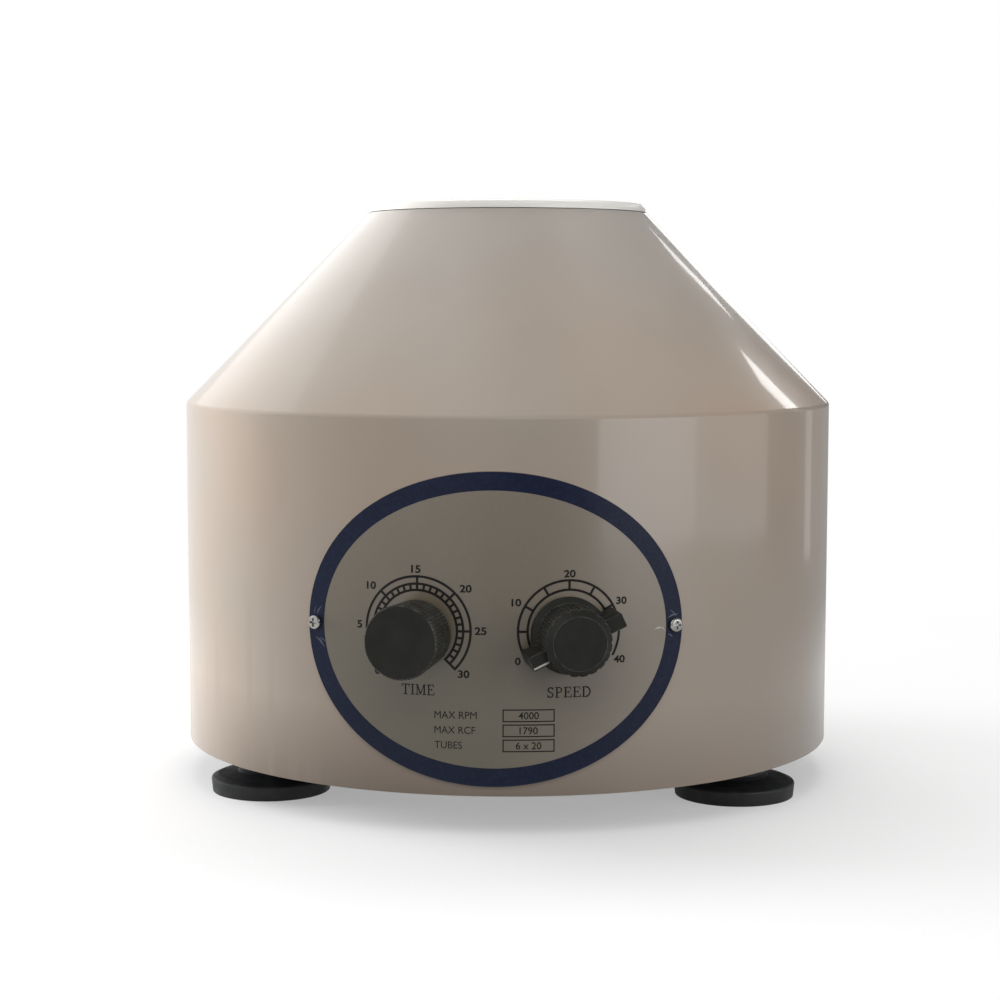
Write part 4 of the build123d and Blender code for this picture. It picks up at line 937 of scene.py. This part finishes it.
def makeSpeedMark():
    # a painted line on the speed knob's pointer nose
    # a pale line along the pointer nose's lower edge, a painted highlight where the edge catches
    # the light
    mark = noseHighlight
    low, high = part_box("speed_knob")
    knobTurn = mark["arc"] / plate["wall"]
    across = Vector((math.cos(knobTurn), math.sin(knobTurn), 0))
    out = Vector((math.sin(knobTurn), -math.cos(knobTurn), 0))
    foot = Vector((0, 0, (low.z + high.z) / 2))

    def ontoNose(x, y, lift):
        return foot + across * x + Vector((0, 0, y)) + out * (mark["noseTop"] + lift)

    pattern = Pattern()
    beside = onCircle((0, 0), mark["low"], mark["turn"] + 90)
    pattern.tick(beside, mark["turn"], mark["inner"], mark["outer"], mark["width"])
    thickness = (mark["proud"], mark["sunk"])
    pattern.build("noseHighlight", ontoNose, paleInk, "speed_control", "knob_grey", *thickness)


makeRing()
makeTimeDial()
makeSpeedDial()
makeCaptions()
makeScratches("ringScuffs", scratches["scuffs"], scuffInk)
makeScratches("plateChips", scratches["chips"], paleInk)
makeSpeedMark()
print("prints and marks made")


stage = {
    "radius": 9.0,
    "sides": 96,
    "shadowTo": 0.34,
    "clearTo": 0.62,  # the floor turns to the plain backdrop beyond this distance
    "nearGlow": 0.35,
    "reflectedRight": 0.4,  # on the left it is as bright as the sky
    "colour": tint(244, 244, 244),
    "shade": tint(240, 240, 240),
    "bounce": tint(52, 49, 46),  # light that bounces off it is weaker than it looks
}


def makeStage():
    mesh = bpy.data.meshes.new("floor")
    disc = bmesh.new()
    bmesh.ops.create_circle(disc, cap_ends=True, segments=stage["sides"], radius=stage["radius"])
    disc.to_mesh(mesh)
    disc.free()
    floor = bpy.data.objects.new("floor", mesh)
    bpy.context.scene.collection.objects.link(floor)
    finish = Finish("floorPaper", roughness=0.8, specular=0.1)
    paths = finish.add("LightPath")
    grain = finish.blend(finish.noise(scale=300, detail=3), stage["colour"], stage["shade"])
    finish.colour(finish.blend(paths.outputs["Is Diffuse Ray"], grain, stage["bounce"]))
    length = finish.add("VectorMath", operation="LENGTH")
    finish.join(finish.coordinates, length.inputs[0])
    distance = length.outputs["Value"]
    reach = (stage["shadowTo"], stage["clearTo"])
    away = finish.fit(distance, reach, (stage["nearGlow"], 1.0))
    seen = finish.maths("MAXIMUM", paths.outputs["Is Camera Ray"], paths.outputs["Is Glossy Ray"])
    seen = finish.maths("MAXIMUM", seen, paths.outputs["Is Transmission Ray"])
    glow = finish.add("Emission")
    bearing = finish.maths("DIVIDE", finish.place()[0], distance)
    sides = (sky["reflectedLeft"], stage["reflectedRight"])
    room = finish.fit(bearing, sky["turnsDim"], sides)
    reflected = finish.add("Mix")
    reflected.inputs["A"].default_value = 1.0
    finish.join(paths.outputs["Is Glossy Ray"], reflected.inputs["Factor"])
    finish.join(room, reflected.inputs["B"])
    finish.join(reflected.outputs["Result"], glow.inputs["Strength"])
    mixer = finish.add("MixShader")
    finish.join(finish.times(away, seen), mixer.inputs["Fac"])
    finish.join(finish.shader.outputs["BSDF"], mixer.inputs[1])
    finish.join(glow.outputs["Emission"], mixer.inputs[2])
    output = next(node for node in finish.tree.nodes if node.type == "OUTPUT_MATERIAL")
    finish.join(mixer.outputs["Shader"], output.inputs["Surface"])
    floor.data.materials.append(finish.material)


# reflections see a bright room on the left and a dim one on the right
sky = {
    "fill": 0.34,
    "seen": 1.0,
    "reflectedLeft": 0.9,
    "reflectedRight": 0.2,
    "turnsDim": (-0.3, 0.2),
}


def makeSky():
    world = bpy.data.worlds.new("sky")
    bpy.context.scene.world = world
    world.use_nodes = True
    tree = world.node_tree
    background = next(node for node in tree.nodes if node.type == "BACKGROUND")
    background.inputs["Color"].default_value = (1, 1, 1, 1)

    def choose(when, otherwise, value):
        # one value for this kind of ray, another for all the rest
        node = tree.nodes.new("ShaderNodeMapRange")
        for name, level in (("To Min", otherwise), ("To Max", value)):
            if isinstance(level, float):
                node.inputs[name].default_value = level
            else:
                tree.links.new(level, node.inputs[name])
        tree.links.new(when, node.inputs["Value"])
        return node.outputs["Result"]

    direction = tree.nodes.new("ShaderNodeSeparateXYZ")
    looking = tree.nodes.new("ShaderNodeTexCoord").outputs["Generated"]
    tree.links.new(looking, direction.inputs["Vector"])
    room = tree.nodes.new("ShaderNodeMapRange")
    room.interpolation_type = "SMOOTHSTEP"
    room.inputs["From Min"].default_value = sky["turnsDim"][0]
    room.inputs["From Max"].default_value = sky["turnsDim"][1]
    room.inputs["To Min"].default_value = sky["reflectedLeft"]
    room.inputs["To Max"].default_value = sky["reflectedRight"]
    tree.links.new(direction.outputs["X"], room.inputs["Value"])
    paths = tree.nodes.new("ShaderNodeLightPath")
    strength = choose(paths.outputs["Is Glossy Ray"], sky["fill"], room.outputs["Result"])
    strength = choose(paths.outputs["Is Transmission Ray"], strength, sky["seen"])
    strength = choose(paths.outputs["Is Camera Ray"], strength, sky["seen"])
    tree.links.new(strength, background.inputs["Strength"])


# bearing round the object from the panel, angle above level, distance,
# width, height, brightness, seen in gloss
lamps = {
    "leftWindow": (-132, 32, 1.6, 3.4, 1.0, 0.65, True),
    "leftSoft": (-110, 3, 1.4, 0.9, 0.5, 31.0, False),
    "leftFront": (-62, 10, 1.3, 0.7, 0.7, 1.4, False),
    "rightWindow": (48.5, 4, 1.1, 0.68, 0.9, 1.95, True),
    "rightCurtain": (82, 4, 1.1, 0.66, 0.9, 0.95, True),
    "rightFront": (50, 3, 1.3, 0.7, 0.7, 1.25, False),
    "frontKey": (0, 36, 0.58, 0.4, 0.3, 2.5, False),
    "topBack": (180, 64, 1.4, 1.0, 0.6, 4.0, True),
    "coneFlare": (126.5, 30.5, 0.53, 0.042, 0.075, 6.0, True),
    "coneStreak": (149, 28, 0.8, 0.05, 0.09, 3.2, True),
    "coneEdge": (166, 11, 1.5, 0.3, 0.3, 2.0, True),
    "wallStreak": (126, 0, 0.9, 0.09, 0.6, 0.7, True),
}
lampTarget = Vector((0, 0, 0.12))


def makeLamps():
    for name, (bearing, rise, distance, width, height, brightness, inGloss) in lamps.items():
        light = bpy.data.lights.new(name, "AREA")
        light.shape = "RECTANGLE"
        light.size = width
        light.size_y = height
        light.energy = brightness * math.pi * width * height
        lamp = bpy.data.objects.new(name, light)
        turn, lift = math.radians(bearing), math.radians(rise)
        level = math.cos(lift)
        out = Vector((math.sin(turn) * level, -math.cos(turn) * level, math.sin(lift)))
        lamp.location = lampTarget + out * distance
        lamp.rotation_euler = (-out).to_track_quat("-Z", "Y").to_euler()
        lamp.visible_camera = False
        lamp.visible_glossy = inGloss
        bpy.context.scene.collection.objects.link(lamp)


lens = {
    "focal": 77.49,
    "sensor": 36,
    "place": (0.0373, -0.9475, 0.2052),
    "down": 5.26,  # degrees below level
    "turn": 2.452,  # degrees to the left of straight ahead
    "roll": 0.075,
}


def makeCamera():
    data = bpy.data.cameras.new("camera")
    data.lens = lens["focal"]
    data.sensor_width = lens["sensor"]
    camera = bpy.data.objects.new("camera", data)
    bpy.context.scene.collection.objects.link(camera)
    turn = Matrix.Rotation(math.radians(lens["turn"]), 4, "Z")
    tilt = Matrix.Rotation(math.radians(90 - lens["down"]), 4, "X")
    roll = Matrix.Rotation(math.radians(lens["roll"]), 4, "Z")
    camera.matrix_world = Matrix.Translation(Vector(lens["place"])) @ turn @ tilt @ roll
    bpy.context.scene.camera = camera


makeStage()
makeSky()
makeLamps()
makeCamera()
bpy.context.scene.view_settings.view_transform = "Standard"
print("stage, lamps and camera ready")
